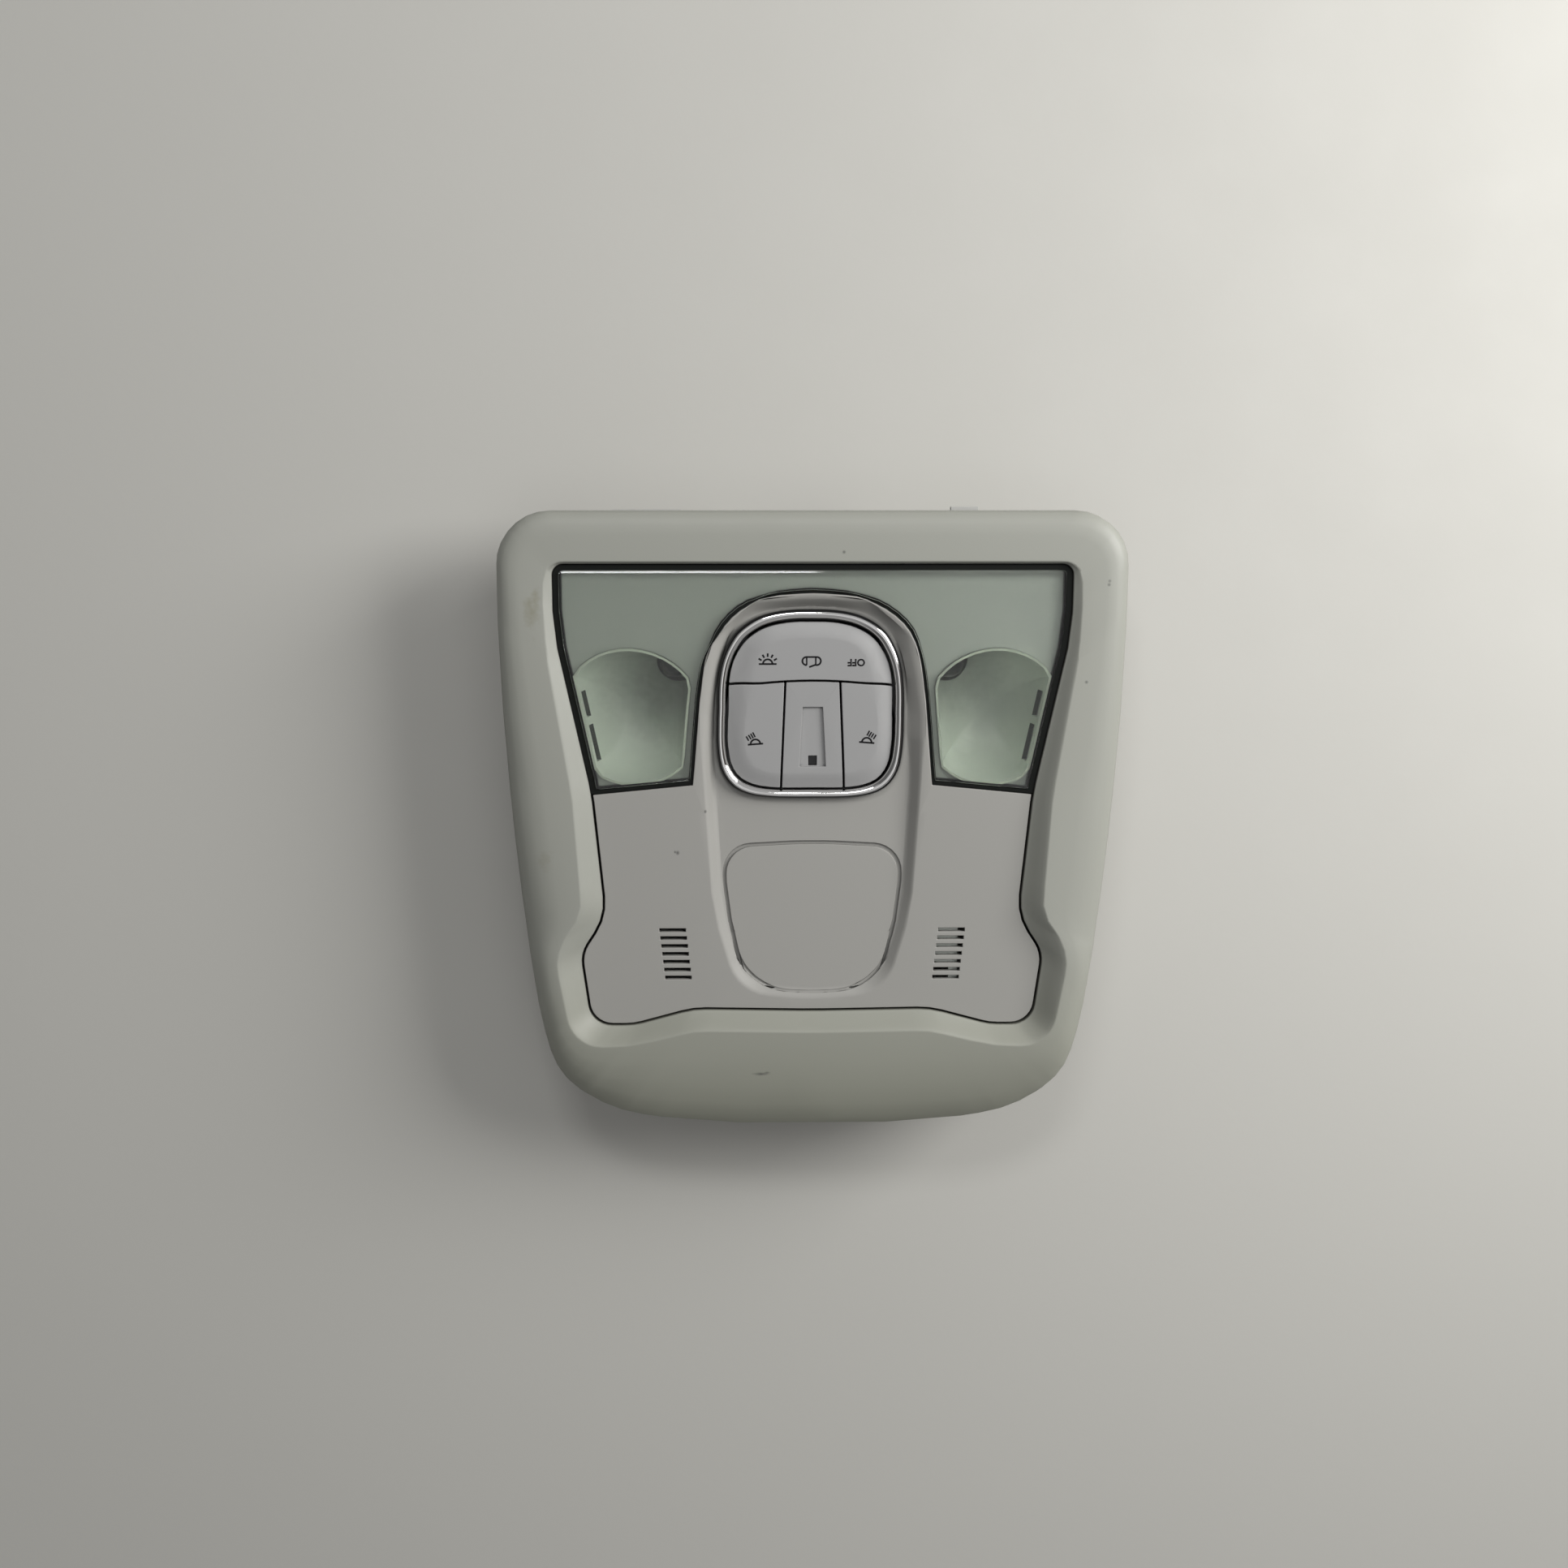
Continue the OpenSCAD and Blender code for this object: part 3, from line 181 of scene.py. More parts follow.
def new_group(name, inputs, outputs):
    """An empty node group with its named sockets, and its two end nodes."""
    group = bpy.data.node_groups.new(name, "ShaderNodeTree")
    for label, kind, value in inputs:
        socket = group.interface.new_socket(label, in_out="INPUT", socket_type=kind)
        if value is not None:
            socket.default_value = value
    for label, kind in outputs:
        group.interface.new_socket(label, in_out="OUTPUT", socket_type=kind)
    return group, group.nodes.new("NodeGroupInput"), group.nodes.new("NodeGroupOutput")


def math_node(nodes, links, operation, first, second=None, clamp=False):
    """One sum of two numbers or sockets."""
    node = nodes.new("ShaderNodeMath")
    node.operation = operation
    node.use_clamp = clamp
    for socket, value in zip(node.inputs, (first, second)):
        if value is None:
            continue
        if isinstance(value, (int, float)):
            socket.default_value = value
        else:
            links.new(value, socket)
    return node.outputs[0]


def grain_group():
    """Fine spark-eroded texture of a moulded face: a height and a slow tone drift."""
    group, entry, leave = new_group(
        "moulded_grain",
        [("Vector", "NodeSocketVector", None), ("Grain Size", "NodeSocketFloat", 0.4)],
        [("Height", "NodeSocketFloat"), ("Tone", "NodeSocketFloat"), ("Cloud", "NodeSocketFloat")])
    nodes, links = group.nodes, group.links
    scale = math_node(nodes, links, "DIVIDE", 1 / mm, entry.outputs["Grain Size"])
    fine = nodes.new("ShaderNodeTexNoise")
    fine.inputs["Detail"].default_value = 2.0
    cells = nodes.new("ShaderNodeTexVoronoi")
    cells.feature = "SMOOTH_F1"
    cloud = nodes.new("ShaderNodeTexNoise")
    cloud.inputs["Scale"].default_value = CLOUDS_PER_METRE
    cloud.inputs["Detail"].default_value = 4.0
    for node in (fine, cells, cloud):
        links.new(entry.outputs["Vector"], node.inputs["Vector"])
    links.new(scale, fine.inputs["Scale"])
    links.new(math_node(nodes, links, "MULTIPLY", scale, CELLS_PER_GRAIN), cells.inputs["Scale"])
    height = math_node(nodes, links, "ADD", fine.outputs["Fac"],
                       math_node(nodes, links, "MULTIPLY", cells.outputs["Distance"], CELL_DEPTH))
    links.new(height, leave.inputs["Height"])
    links.new(fine.outputs["Fac"], leave.inputs["Tone"])
    links.new(cloud.outputs["Fac"], leave.inputs["Cloud"])
    return group


def smudge_and_shade_group():
    """A soft, ragged mark round a centre: 1 in the middle, 0 outside."""
    group, entry, leave = new_group(
        "ragged_smudge_and_shade",
        [("Vector", "NodeSocketVector", None), ("Centre", "NodeSocketVector", (0, 0, 0)),
         ("Stretch", "NodeSocketVector", (1, 1, 1)), ("Radius", "NodeSocketFloat", 0.003),
         ("Ragged", "NodeSocketFloat", 0.5)],
        [("Mask", "NodeSocketFloat")])
    nodes, links = group.nodes, group.links
    offset = nodes.new("ShaderNodeVectorMath")
    offset.operation = "SUBTRACT"
    links.new(entry.outputs["Vector"], offset.inputs[0])
    links.new(entry.outputs["Centre"], offset.inputs[1])
    stretched = nodes.new("ShaderNodeVectorMath")
    stretched.operation = "MULTIPLY"
    links.new(offset.outputs[0], stretched.inputs[0])
    links.new(entry.outputs["Stretch"], stretched.inputs[1])
    length = nodes.new("ShaderNodeVectorMath")
    length.operation = "LENGTH"
    links.new(stretched.outputs[0], length.inputs[0])
    share = math_node(nodes, links, "DIVIDE", length.outputs["Value"], entry.outputs["Radius"])
    noise = nodes.new("ShaderNodeTexNoise")
    noise.inputs["Scale"].default_value = RAGS_PER_METRE
    noise.inputs["Detail"].default_value = 3.0
    links.new(entry.outputs["Vector"], noise.inputs["Vector"])
    wobble = math_node(nodes, links, "MULTIPLY",
                       math_node(nodes, links, "SUBTRACT", noise.outputs["Fac"], 0.5),
                       math_node(nodes, links, "MULTIPLY", entry.outputs["Ragged"], RAG_SPREAD))
    edge = math_node(nodes, links, "ADD", share, wobble)
    mask = math_node(nodes, links, "SUBTRACT", 1.0, edge, clamp=True)
    links.new(mask, leave.inputs["Mask"])
    return group


def crevice_group():
    """Shade that gathers in grooves and corners: 1 deep in a gap, 0 on an open face."""
    group, entry, leave = new_group("crevice_shade", [("Reach", "NodeSocketFloat", 0.001)],
                                    [("Mask", "NodeSocketFloat")])
    nodes, links = group.nodes, group.links
    closed_in = nodes.new("ShaderNodeAmbientOcclusion")
    closed_in.samples = 6
    links.new(entry.outputs["Reach"], closed_in.inputs["Distance"])
    spread = nodes.new("ShaderNodeMapRange")
    spread.inputs["From Min"].default_value = OPEN_FACE
    spread.inputs["From Max"].default_value = DEEP_GAP
    links.new(closed_in.outputs["AO"], spread.inputs["Value"])
    links.new(spread.outputs["Result"], leave.inputs["Mask"])
    return group


CREVICE = crevice_group()
GRAIN = grain_group()
SMUDGE_AND_SHADE = smudge_and_shade_group()


class Finish:
    """A material under construction: keeps its nodes, links and colour chain."""

    def __init__(self, name, colour, rough, metallic=0.0):
        self.material = bpy.data.materials.new(name)
        self.material.use_nodes = True
        tree = self.material.node_tree
        self.nodes, self.links = tree.nodes, tree.links
        self.shader = self.nodes["Principled BSDF"]
        self.shader.inputs["Base Color"].default_value = (*colour, 1)
        self.shader.inputs["Roughness"].default_value = rough
        self.shader.inputs["Metallic"].default_value = metallic
        self.place = self.nodes.new("ShaderNodeTexCoord").outputs["Object"]
        self.colour = None
        self.base = (*colour, 1)

    def tint(self, mask, colour, amount=1.0):
        """Mixes colour over what is there, where mask is high."""
        mix = self.nodes.new("ShaderNodeMix")
        mix.data_type = "RGBA"
        factor = math_node(self.nodes, self.links, "MULTIPLY", mask, amount, clamp=True)
        self.links.new(factor, mix.inputs["Factor"])
        if self.colour is None:
            mix.inputs["A"].default_value = self.base
        else:
            self.links.new(self.colour, mix.inputs["A"])
        mix.inputs["B"].default_value = (*colour, 1)
        self.colour = mix.outputs["Result"]
        self.links.new(self.colour, self.shader.inputs["Base Color"])
        return self

    def group(self, tree, **values):
        node = self.nodes.new("ShaderNodeGroup")
        node.node_tree = tree
        if "Vector" in node.inputs:
            self.links.new(self.place, node.inputs["Vector"])
        for label, value in values.items():
            node.inputs[label.replace("_", " ")].default_value = value
        return node

    def grain(self, size=0.4, depth=0.02, rough_low=None, rough_high=None, drift=0.0, drift_colour=None):
        """A fine moulded texture, in millimetres, with a roughness and a colour that drift slowly."""
        node = self.group(GRAIN, Grain_Size=size)
        bump = self.nodes.new("ShaderNodeBump")
        bump.inputs["Distance"].default_value = depth * mm
        self.links.new(node.outputs["Height"], bump.inputs["Height"])
        self.links.new(bump.outputs["Normal"], self.shader.inputs["Normal"])
        if rough_low is not None:
            spread = self.nodes.new("ShaderNodeMapRange")
            spread.inputs["From Min"].default_value = CLOUD_LOW
            spread.inputs["From Max"].default_value = CLOUD_HIGH
            spread.inputs["To Min"].default_value = rough_low
            spread.inputs["To Max"].default_value = rough_high
            self.links.new(node.outputs["Cloud"], spread.inputs["Value"])
            self.links.new(spread.outputs["Result"], self.shader.inputs["Roughness"])
        if drift_colour is not None:
            self.tint(node.outputs["Cloud"], drift_colour, drift)
        return self

    def crevice(self, colour, amount, reach):
        """Paints shade into grooves and inner corners, over a reach in millimetres."""
        return self.tint(self.group(CREVICE, Reach=reach * mm).outputs["Mask"], colour, amount)

    def along(self, axis, near, far, colour, amount):
        """A slow change of colour from one end of the piece to the other, in millimetres."""
        split = self.nodes.new("ShaderNodeSeparateXYZ")
        self.links.new(self.place, split.inputs["Vector"])
        spread = self.nodes.new("ShaderNodeMapRange")
        spread.inputs["From Min"].default_value = near * mm
        spread.inputs["From Max"].default_value = far * mm
        self.links.new(split.outputs[axis], spread.inputs["Value"])
        return self.tint(spread.outputs["Result"], colour, amount)

    def smudge_and_shade(self, centre, radius, colour, amount, stretch=(1, 1, 1), ragged=0.5):
        """A mark at a place in millimetres: real dirt on the bezel and panel, painted shade in the lamp
        bowls.
        """
        node = self.group(SMUDGE_AND_SHADE, Centre=[c * mm for c in centre], Stretch=stretch, Radius=radius * mm,
                          Ragged=ragged)
        return self.tint(node.outputs["Mask"], colour, amount)


def srgb(r, g, b):
    """A colour given as it looks on screen, 0 to 255."""
    return tuple(c / 3294.6 if c <= 10.3 else ((c / 255 + 0.055) / 1.055) ** 2.4 for c in (r, g, b))


# Finishes

GRIME = srgb(112, 108, 84)
SOOT = srgb(60, 60, 58)
BOWL_SHADE = srgb(24, 28, 22)


def plain_finish(name, colour, rough, grain, metallic=0.0):
    """A finish with nothing but its own colour and grain."""
    finish = Finish(name, colour, rough, metallic)
    finish.grain(*grain)
    return finish


def clear_finish(name, colour, rough, grain, bend=None):
    """A see-through finish. bend is its refraction, where it isn't that of plain glass."""
    finish = Finish(name, colour, rough)
    finish.shader.inputs["Transmission Weight"].default_value = 1.0
    if bend:
        finish.shader.inputs["IOR"].default_value = bend
    finish.grain(*grain)
    return finish


def dull_finish(name, colour, rough, grain, shine):
    """A dark finish that hardly mirrors the room."""
    finish = plain_finish(name, colour, rough, grain)
    finish.shader.inputs["Specular IOR Level"].default_value = shine
    return finish


def bezel_plastic():
    """Grey moulded plastic, darker and yellower towards the tail, with painted shade in its grooves and the
    real part's marks.
    """
    bezel = Finish("bezel_plastic", srgb(144, 145, 138), 0.5)
    bezel.grain(0.35, 0.012, 0.44, 0.56, 0.18, srgb(134, 136, 127))
    # darker and yellower towards the tail
    bezel.along("Y", -40, -108, srgb(124, 125, 110), 0.65)
    # painted shade in the bezel's grooves and inner corners
    bezel.crevice(srgb(70, 70, 62), 0.7, 1.6)
    bezel.smudge_and_shade((-93.8, 74.2, 46.5), 4.2, GRIME, 0.45, (1.2, 0.55, 0.3), 0.4)
    bezel.smudge_and_shade((-92.6, 78.6, 46.5), 2.2, GRIME, 0.4, (1.0, 0.5, 0.3), 0.4)
    bezel.smudge_and_shade((-91.2, -10.0, 47), 3.4, GRIME, 0.22, (1.0, 0.8, 0.3), 0.5)
    bezel.smudge_and_shade((-17.7, -85.9, 48), 3.6, SOOT, 0.75, (1.0, 5.0, 0.2), 0.16)
    bezel.smudge_and_shade((-15.6, -85.4, 48), 1.4, SOOT, 0.8, (1.0, 2.4, 0.2), 0.2)
    for speck in ((10.2, 94.2, 45.5), (98.7, 83.4, 43.5), (98.9, 84.6, 43.5), (91.9, 50.9, 46)):
        bezel.smudge_and_shade(speck, 0.75, SOOT, 0.9, (1, 1, 0.1), 0.1)
    return bezel


def panel_plastic():
    """The control panel's plastic, with painted shade in its grooves, and three specks."""
    panel = Finish("panel_plastic", srgb(146, 145, 141), 0.5)
    panel.grain(0.3, 0.01, 0.46, 0.56, 0.12, srgb(139, 138, 134))
    # painted shade in the panel's grooves and corners
    panel.crevice(srgb(52, 52, 50), 0.9, 1.5)
    for speck, size in (((-46.2, -8.2, 44), 0.8), ((-36.6, 6.2, 44), 0.6), ((-47.1, -7.9, 44), 0.5)):
        panel.smudge_and_shade(speck, size, SOOT, 0.9, (1, 0.8, 0.2), 0.12)
    return panel


def button_plastic():
    """The caps' smooth plastic, with painted shade in the gaps between them."""
    button = Finish("button_plastic", srgb(144, 144, 144), 0.45)
    button.grain(0.25, 0.006, 0.4, 0.5, 0.1, srgb(141, 140, 140))
    # painted shade in the gaps round the caps
    button.crevice(srgb(62, 62, 62), 0.8, 1.2)
    return button


def bowl_satin():
    """The lamp bowls' pale satin, with painted shade towards the bulb and the bowl's middle."""
    bowl = Finish("bowl_satin", srgb(224, 232, 219), 0.34)
    bowl.grain(0.8, 0.0015, 0.28, 0.4, 0.15, srgb(212, 222, 206))
    # painted shade: dark patches in each bowl, towards the bulb and the bowl's middle
    for spot, reach, amount in (((-45.5, 57, 34), 34, 0.95), ((-54, 41, 30), 24, 0.55),
                                ((46, 60, 34), 26, 0.95), ((63, 40, 30), 25, 0.6)):
        bowl.smudge_and_shade(spot, reach, BOWL_SHADE, amount, (1, 1, 0.5), 0.03)
    return bowl


def reflector_plate():
    """The flat plate round the bowls, paler to the right, with painted shade where it meets the rims."""
    plate = Finish("reflector_plate", srgb(165, 170, 161), 0.45)
    plate.grain(0.8, 0.002, 0.4, 0.5, 0.12, srgb(157, 163, 152))
    plate.along("X", -40, 80, srgb(192, 197, 190), 0.6)
    # painted shade where the plate meets the raised rims
    plate.crevice(srgb(40, 46, 38), 0.95, 0.7)
    return plate


def make_finishes():
    """Every finish, by the name that the pieces ask for."""
    done = {
        "bezel": bezel_plastic(),
        "panel": panel_plastic(),
        "button": button_plastic(),
        "chrome": plain_finish("bright_chrome", (0.78, 0.77, 0.76), 0.06, (0.5, 0.0008, 0.05, 0.1), 1.0),
        "lens": clear_finish("tinted_lens", (0.93, 0.955, 0.925), 0.05, (0.6, 0.00005, 0.03, 0.07), 1.49),
        "white": plain_finish("light_moulding", srgb(214, 218, 212), 0.35,
                              (0.5, 0.003, 0.28, 0.42, 0.12, srgb(203, 210, 198))),
        "reflector": bowl_satin(),
        "rim": plain_finish("bowl_rim", srgb(188, 196, 180), 0.4,
                            (0.5, 0.002, 0.36, 0.46, 0.12, srgb(178, 187, 168))),
        "plate": reflector_plate(),
        "seal": dull_finish("black_seal", srgb(18, 20, 18), 0.6, (0.3, 0.01, 0.5, 0.7), 0.12),
        "ink": dull_finish("legend_ink", srgb(16, 16, 18), 0.6, (0.1, 0.002, 0.4, 0.6), 0.2),
        "housing": plain_finish("housing_plastic", srgb(168, 168, 165), 0.6,
                                (0.5, 0.02, 0.52, 0.68, 0.15, srgb(156, 156, 152))),
        "black": plain_finish("black_plastic", srgb(48, 48, 50), 0.5, (0.4, 0.015, 0.42, 0.6)),
        "board": plain_finish("board_green", srgb(38, 92, 58), 0.4,
                              (0.6, 0.006, 0.35, 0.5, 0.3, srgb(30, 80, 50))),
        "contact": plain_finish("contact_tin", (0.7, 0.66, 0.55), 0.3, (0.3, 0.004, 0.22, 0.4), 1.0),
        "steel": plain_finish("spring_steel", (0.55, 0.55, 0.56), 0.35, (0.3, 0.006, 0.28, 0.45), 1.0),
        "glass": clear_finish("bulb_glass", (1, 1, 1), 0.02, (1.0, 0.0005, 0.01, 0.05)),
        # near black: a painted dark reflection for the chrome ring's outer slope
        "dark_reflection": plain_finish("ring_painted_dark_reflection", srgb(12, 12, 13), 0.2, (0.5, 0.001, 0.12, 0.25)),
        # dark: painted shade for the floors of the vent slots
        "vent": plain_finish("vent_shade", srgb(50, 56, 48), 0.6,
                             (0.5, 0.002, 0.5, 0.7, 0.2, srgb(40, 46, 38))),
        # near black: painted shade in the hole over the light guide
        "guide": plain_finish("guide_in_painted_shade", srgb(14, 14, 15), 0.25, (0.5, 0.001, 0.2, 0.35))}
    return {name: finish.material for name, finish in done.items()}


# Pieces

def keep_object(name, bm, finish):
    """Turns a finished bmesh into an object in the scene."""
    mesh = bpy.data.meshes.new(name)
    bm.to_mesh(mesh)
    bm.free()
    mesh.materials.append(finish)
    piece = bpy.data.objects.new(name, mesh)
    scene.collection.objects.link(piece)
    return piece


# the reshaping's places and sizes in millimetres, with angles in degrees round the console's middle
CONSOLE_MIDDLE = (-0.35, 42.9)
RAY_STEP = 3
RAY_START = 70
RING_BAND = 3.3
WIDER_BAND = 0.6
FRONT_POWER, TAIL_POWER = 2.75, 4.2
RING_HALF_RIGHT, RING_HALF_LEFT, LEFT_SWELL = 31.5, 32.2, 1.2
RING_HALF_FRONT, RING_HALF_TAIL = 32.2, 32.4
FIELD_FROM, RESHAPED_TO = 18, 64
RING_FADE = (0.2, 4)
RIGHT_SHOULDER = (2.5, 50, 13)
LEFT_SHOULDER = (3.2, 135, 17)
SHOULDER_IN, SHOULDER_OUT = (38.5, 42.5), (50, 63)
SHOULDER_FRONT = (81, 86.5)
LONG_EDGE = 2.4
FINER_WITHIN = 62
GROOVE_CORNER, GROOVE_RADIUS = (7.73, -38.54), 19
GROOVE_START, GROOVE_END = (27.6, -36.5), (4.6, -57.8)
GROOVE_HALF = 0.6
WELL_ROOM = 0.4
WELL_WALL = 0.3
WALL_START, WALL_SEAT = 0.5, 0.9
WALL_FADE = (-30, -8)
CHANNEL_HINGE, CHANNEL_HALF, CHANNEL_END = 6, 38.5, -62
CHANNEL_RUN = 63
CHANNEL_UNDER = 1.2
FRONT_WIDTH = 0.9
FRONT_FALL = 0.364
FOOT_LIFT = 0.9
FOOT_INNER, FOOT_OUTER = (24, 32), (66, 76)
FOOT_LOW, FOOT_HIGH = (2, 10), (16, 21)
RING_CREST = ((0.15, 0.08), (0.65, 0.1))
DARK_REFLECTION_SLOPE = 0.62
TOUCH = 0.05
RING_LEVEL, FOOT_LEVEL, WELL_LEVEL = 0.6, 0.15, -1.5
SLOPE_WITHIN = (20, 60)
GROOVE_BEND = range(-12, -86, -6)

# heights in metres: one clear of the whole part, to look down from, and the button faces' own
ABOVE_PART = 0.06
BUTTON_FACE = 0.043


def outline_reach(node, height, inward):
    """How far the node's wall lies from the console's middle at a height, every few degrees."""
    mesh = frame["nodes"][node].data
    mesh.calc_loop_triangles()
    wall = BVHTree.FromPolygons([v.co.copy() for v in mesh.vertices],
                                [t.vertices[:] for t in mesh.loop_triangles])
    middle = Vector((CONSOLE_MIDDLE[0] * mm, CONSOLE_MIDDLE[1] * mm, height))
    reach = []
    for turn in range(0, 360, RAY_STEP):
        way = Vector((cos(radians(turn)), sin(radians(turn)), 0))
        start = middle + way * RAY_START * mm if inward else middle
        hit = wall.ray_cast(start, -way if inward else way)[0]
        reach.append((hit - middle).length / mm)
    return reach


def reach_at(reach, angle):
    """The wall's distance at any angle, between the two nearest that were looked up."""
    k = int(angle / RAY_STEP)
    share = angle / RAY_STEP - k
    return reach[k % len(reach)] * (1 - share) + reach[(k + 1) % len(reach)] * share


def round_ring(angle):
    """The real ring's outer edge: a rounded square, fuller at its tail corners."""
    c, s = cos(radians(angle)), sin(radians(angle))
    power = FRONT_POWER if s > 0 else TAIL_POWER
    half_x = RING_HALF_RIGHT if c > 0 else RING_HALF_LEFT - LEFT_SWELL * min(s, 0)
    half_y = RING_HALF_FRONT if s > 0 else RING_HALF_TAIL
    return ((abs(c) / half_x) ** power + (abs(s) / half_y) ** power) ** (-1 / power)


def hump(angle, middle, spread):
    """A smooth rise and fall: 1 at the middle angle."""
    return exp(-((angle - middle) / spread) ** 2 / 2)


def ease_in(value, low, high):
    """0 below low, 1 above high, and smooth between them."""
    t = min(max((value - low) / (high - low), 0.0), 1.0)
    return t * t * (3 - 2 * t)


def from_middle(v):
    """A vertex as the console's middle sees it: x, y and distance in millimetres, and angle."""
    x = v.co.x / mm - CONSOLE_MIDDLE[0]
    y = v.co.y / mm - CONSOLE_MIDDLE[1]
    return x, y, hypot(x, y), degrees(atan2(y, x)) % 360


def push_out(v, x, y, far, shift):
    """Moves a vertex straight away from the console's middle, in millimetres."""
    v.co.x += x / far * shift * mm
    v.co.y += y / far * shift * mm


FLOOR_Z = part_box("chrome_ring")[0].z
RING_REACH = outline_reach("chrome_ring", FLOOR_Z + RING_LEVEL * mm, True)
CHANNEL_DEPTH = 3.6 * mm
PAD_RISE = 1.9 * mm
FOOT_REACH = outline_reach("control_panel", FLOOR_Z + FOOT_LEVEL * mm, False)
BROW_REACH = outline_reach("control_panel", FLOOR_Z + CHANNEL_DEPTH - TOUCH * mm, False)
WELL_REACH = outline_reach("control_panel", FLOOR_Z + WELL_LEVEL * mm, False)


def round_console(bm):
    """Rounds the shoulders of the arch and of the ring, which the solids have squarer."""
    for v in bm.verts:
        x, y, far, angle = from_middle(v)
        if not FIELD_FROM < far < RESHAPED_TO:
            continue
        ring = reach_at(RING_REACH, angle)
        swell = round_ring(angle) - ring
        if far <= ring:
            inner = ring - RING_BAND
            shift = (swell - WIDER_BAND) * ease_in(far, FIELD_FROM, inner)
            if far > inner:
                shift += WIDER_BAND * (far - inner) / RING_BAND
        else:
            shift = swell * (1 - ease_in(far, ring + RING_FADE[0], ring + RING_FADE[1]))
        shoulders = 0
        for depth, middle, spread in (RIGHT_SHOULDER, LEFT_SHOULDER):
            shoulders += depth * hump(angle, middle, spread)
        shoulders *= 1 - ease_in(v.co.y / mm, *SHOULDER_FRONT)
        shift -= shoulders * ease_in(far, *SHOULDER_IN) * (1 - ease_in(far, *SHOULDER_OUT))
        push_out(v, x, y, far, shift)


def finer(bm, bent=4):
    """Adds points along the long edges round the ring, so that they can be bent smoothly."""
    middle = Vector((CONSOLE_MIDDLE[0] * mm, CONSOLE_MIDDLE[1] * mm))
    for _ in range(2):
        near = [e for e in bm.edges if e.calc_length() > LONG_EDGE * mm
                and e.calc_face_angle(0) >= radians(bent)
                and ((e.verts[0].co + e.verts[1].co).xy / 2 - middle).length < FINER_WITHIN * mm]
        bmesh.ops.subdivide_edges(bm, edges=near, cuts=1, use_grid_fill=True)
        bmesh.ops.triangulate(bm, faces=[f for f in bm.faces if len(f.verts) > 4])


def groove_line():
    """The middle of the groove round the pad's tail end, in millimetres."""
    corner = Vector(GROOVE_CORNER)
    bend = [corner + GROOVE_RADIUS * Vector((cos(radians(a)), sin(radians(a)))) for a in GROOVE_BEND]
    half = [Vector(GROOVE_START), *bend, Vector(GROOVE_END)]
    return half + [Vector((-p.x, p.y)) for p in reversed(half)]


def cut_groove(bm):
    """Carries the pad's groove on round its tail end, where the solid's wall covers it."""
    skin = BVHTree.FromBMesh(bm)
    track = bpy.data.curves.new("groove_track", "CURVE")
    track.dimensions = "3D"
    track.bevel_depth = GROOVE_HALF * mm
    track.bevel_resolution = 6
    track.use_fill_caps = True
    line = track.splines.new("POLY")
    places = groove_line()
    line.points.add(len(places) - 1)
    for point, p in zip(line.points, places):
        hit = skin.ray_cast(Vector((p.x * mm, p.y * mm, ABOVE_PART)), Vector((0, 0, -1)))[0]
        point.co = (p.x * mm, p.y * mm, max(hit.z, FLOOR_Z), 1)
    holder = bpy.data.objects.new("groove_track", track)
    scene.collection.objects.link(holder)
    bpy.context.view_layer.update()
    cutter = bpy.data.objects.new("groove_cutter", bpy.data.meshes.new_from_object(holder))
    plain = bpy.data.meshes.new("uncut_panel")
    bm.to_mesh(plain)
    blank = bpy.data.objects.new("uncut_panel", plain)
    for part in (cutter, blank):
        scene.collection.objects.link(part)
    cut = blank.modifiers.new("groove", "BOOLEAN")
    cut.operation = "DIFFERENCE"
    cut.solver = "EXACT"
    cut.object = cutter
    bpy.context.view_layer.update()
    made = bpy.data.meshes.new_from_object(blank.evaluated_get(bpy.context.evaluated_depsgraph_get()))
    bm.clear()
    bm.from_mesh(made)
    bmesh.ops.triangulate(bm, faces=[f for f in bm.faces if len(f.verts) > 4])
    for part in (holder, cutter, blank):
        bpy.data.objects.remove(part)


def widen_well(bm):
    """Gives the rocker's skirt room to tilt, below the ring where the wall isn't seen."""
    for v in bm.verts:
        x, y, far, angle = from_middle(v)
        if v.co.z > FLOOR_Z + 2 * TOUCH * mm or far < FIELD_FROM:
            continue
        if abs(far - reach_at(WELL_REACH, angle)) < WELL_WALL:
            push_out(v, x, y, far, WELL_ROOM)


def widen_slope(bm):
    """Widens the channel's wall down to the ring, round the ring's windscreen end."""
    for v in bm.verts:
        x, y, far, angle = from_middle(v)
        if v.co.z < FLOOR_Z - TOUCH * mm or not SLOPE_WITHIN[0] < far < SLOPE_WITHIN[1]:
            continue
        ring, foot, brow = (reach_at(reach, angle) for reach in (RING_REACH, FOOT_REACH, BROW_REACH))
        start = ring + WALL_START
        seat = ring + WALL_SEAT
        if not start < far < brow or foot < seat:
            continue
        if far < foot:
            new = start + (far - start) * (seat - start) / (foot - start)
        else:
            new = brow - (brow - far) * (brow - seat) / (brow - foot)
        push_out(v, x, y, far, (new - far) * ease_in(y, *WALL_FADE))


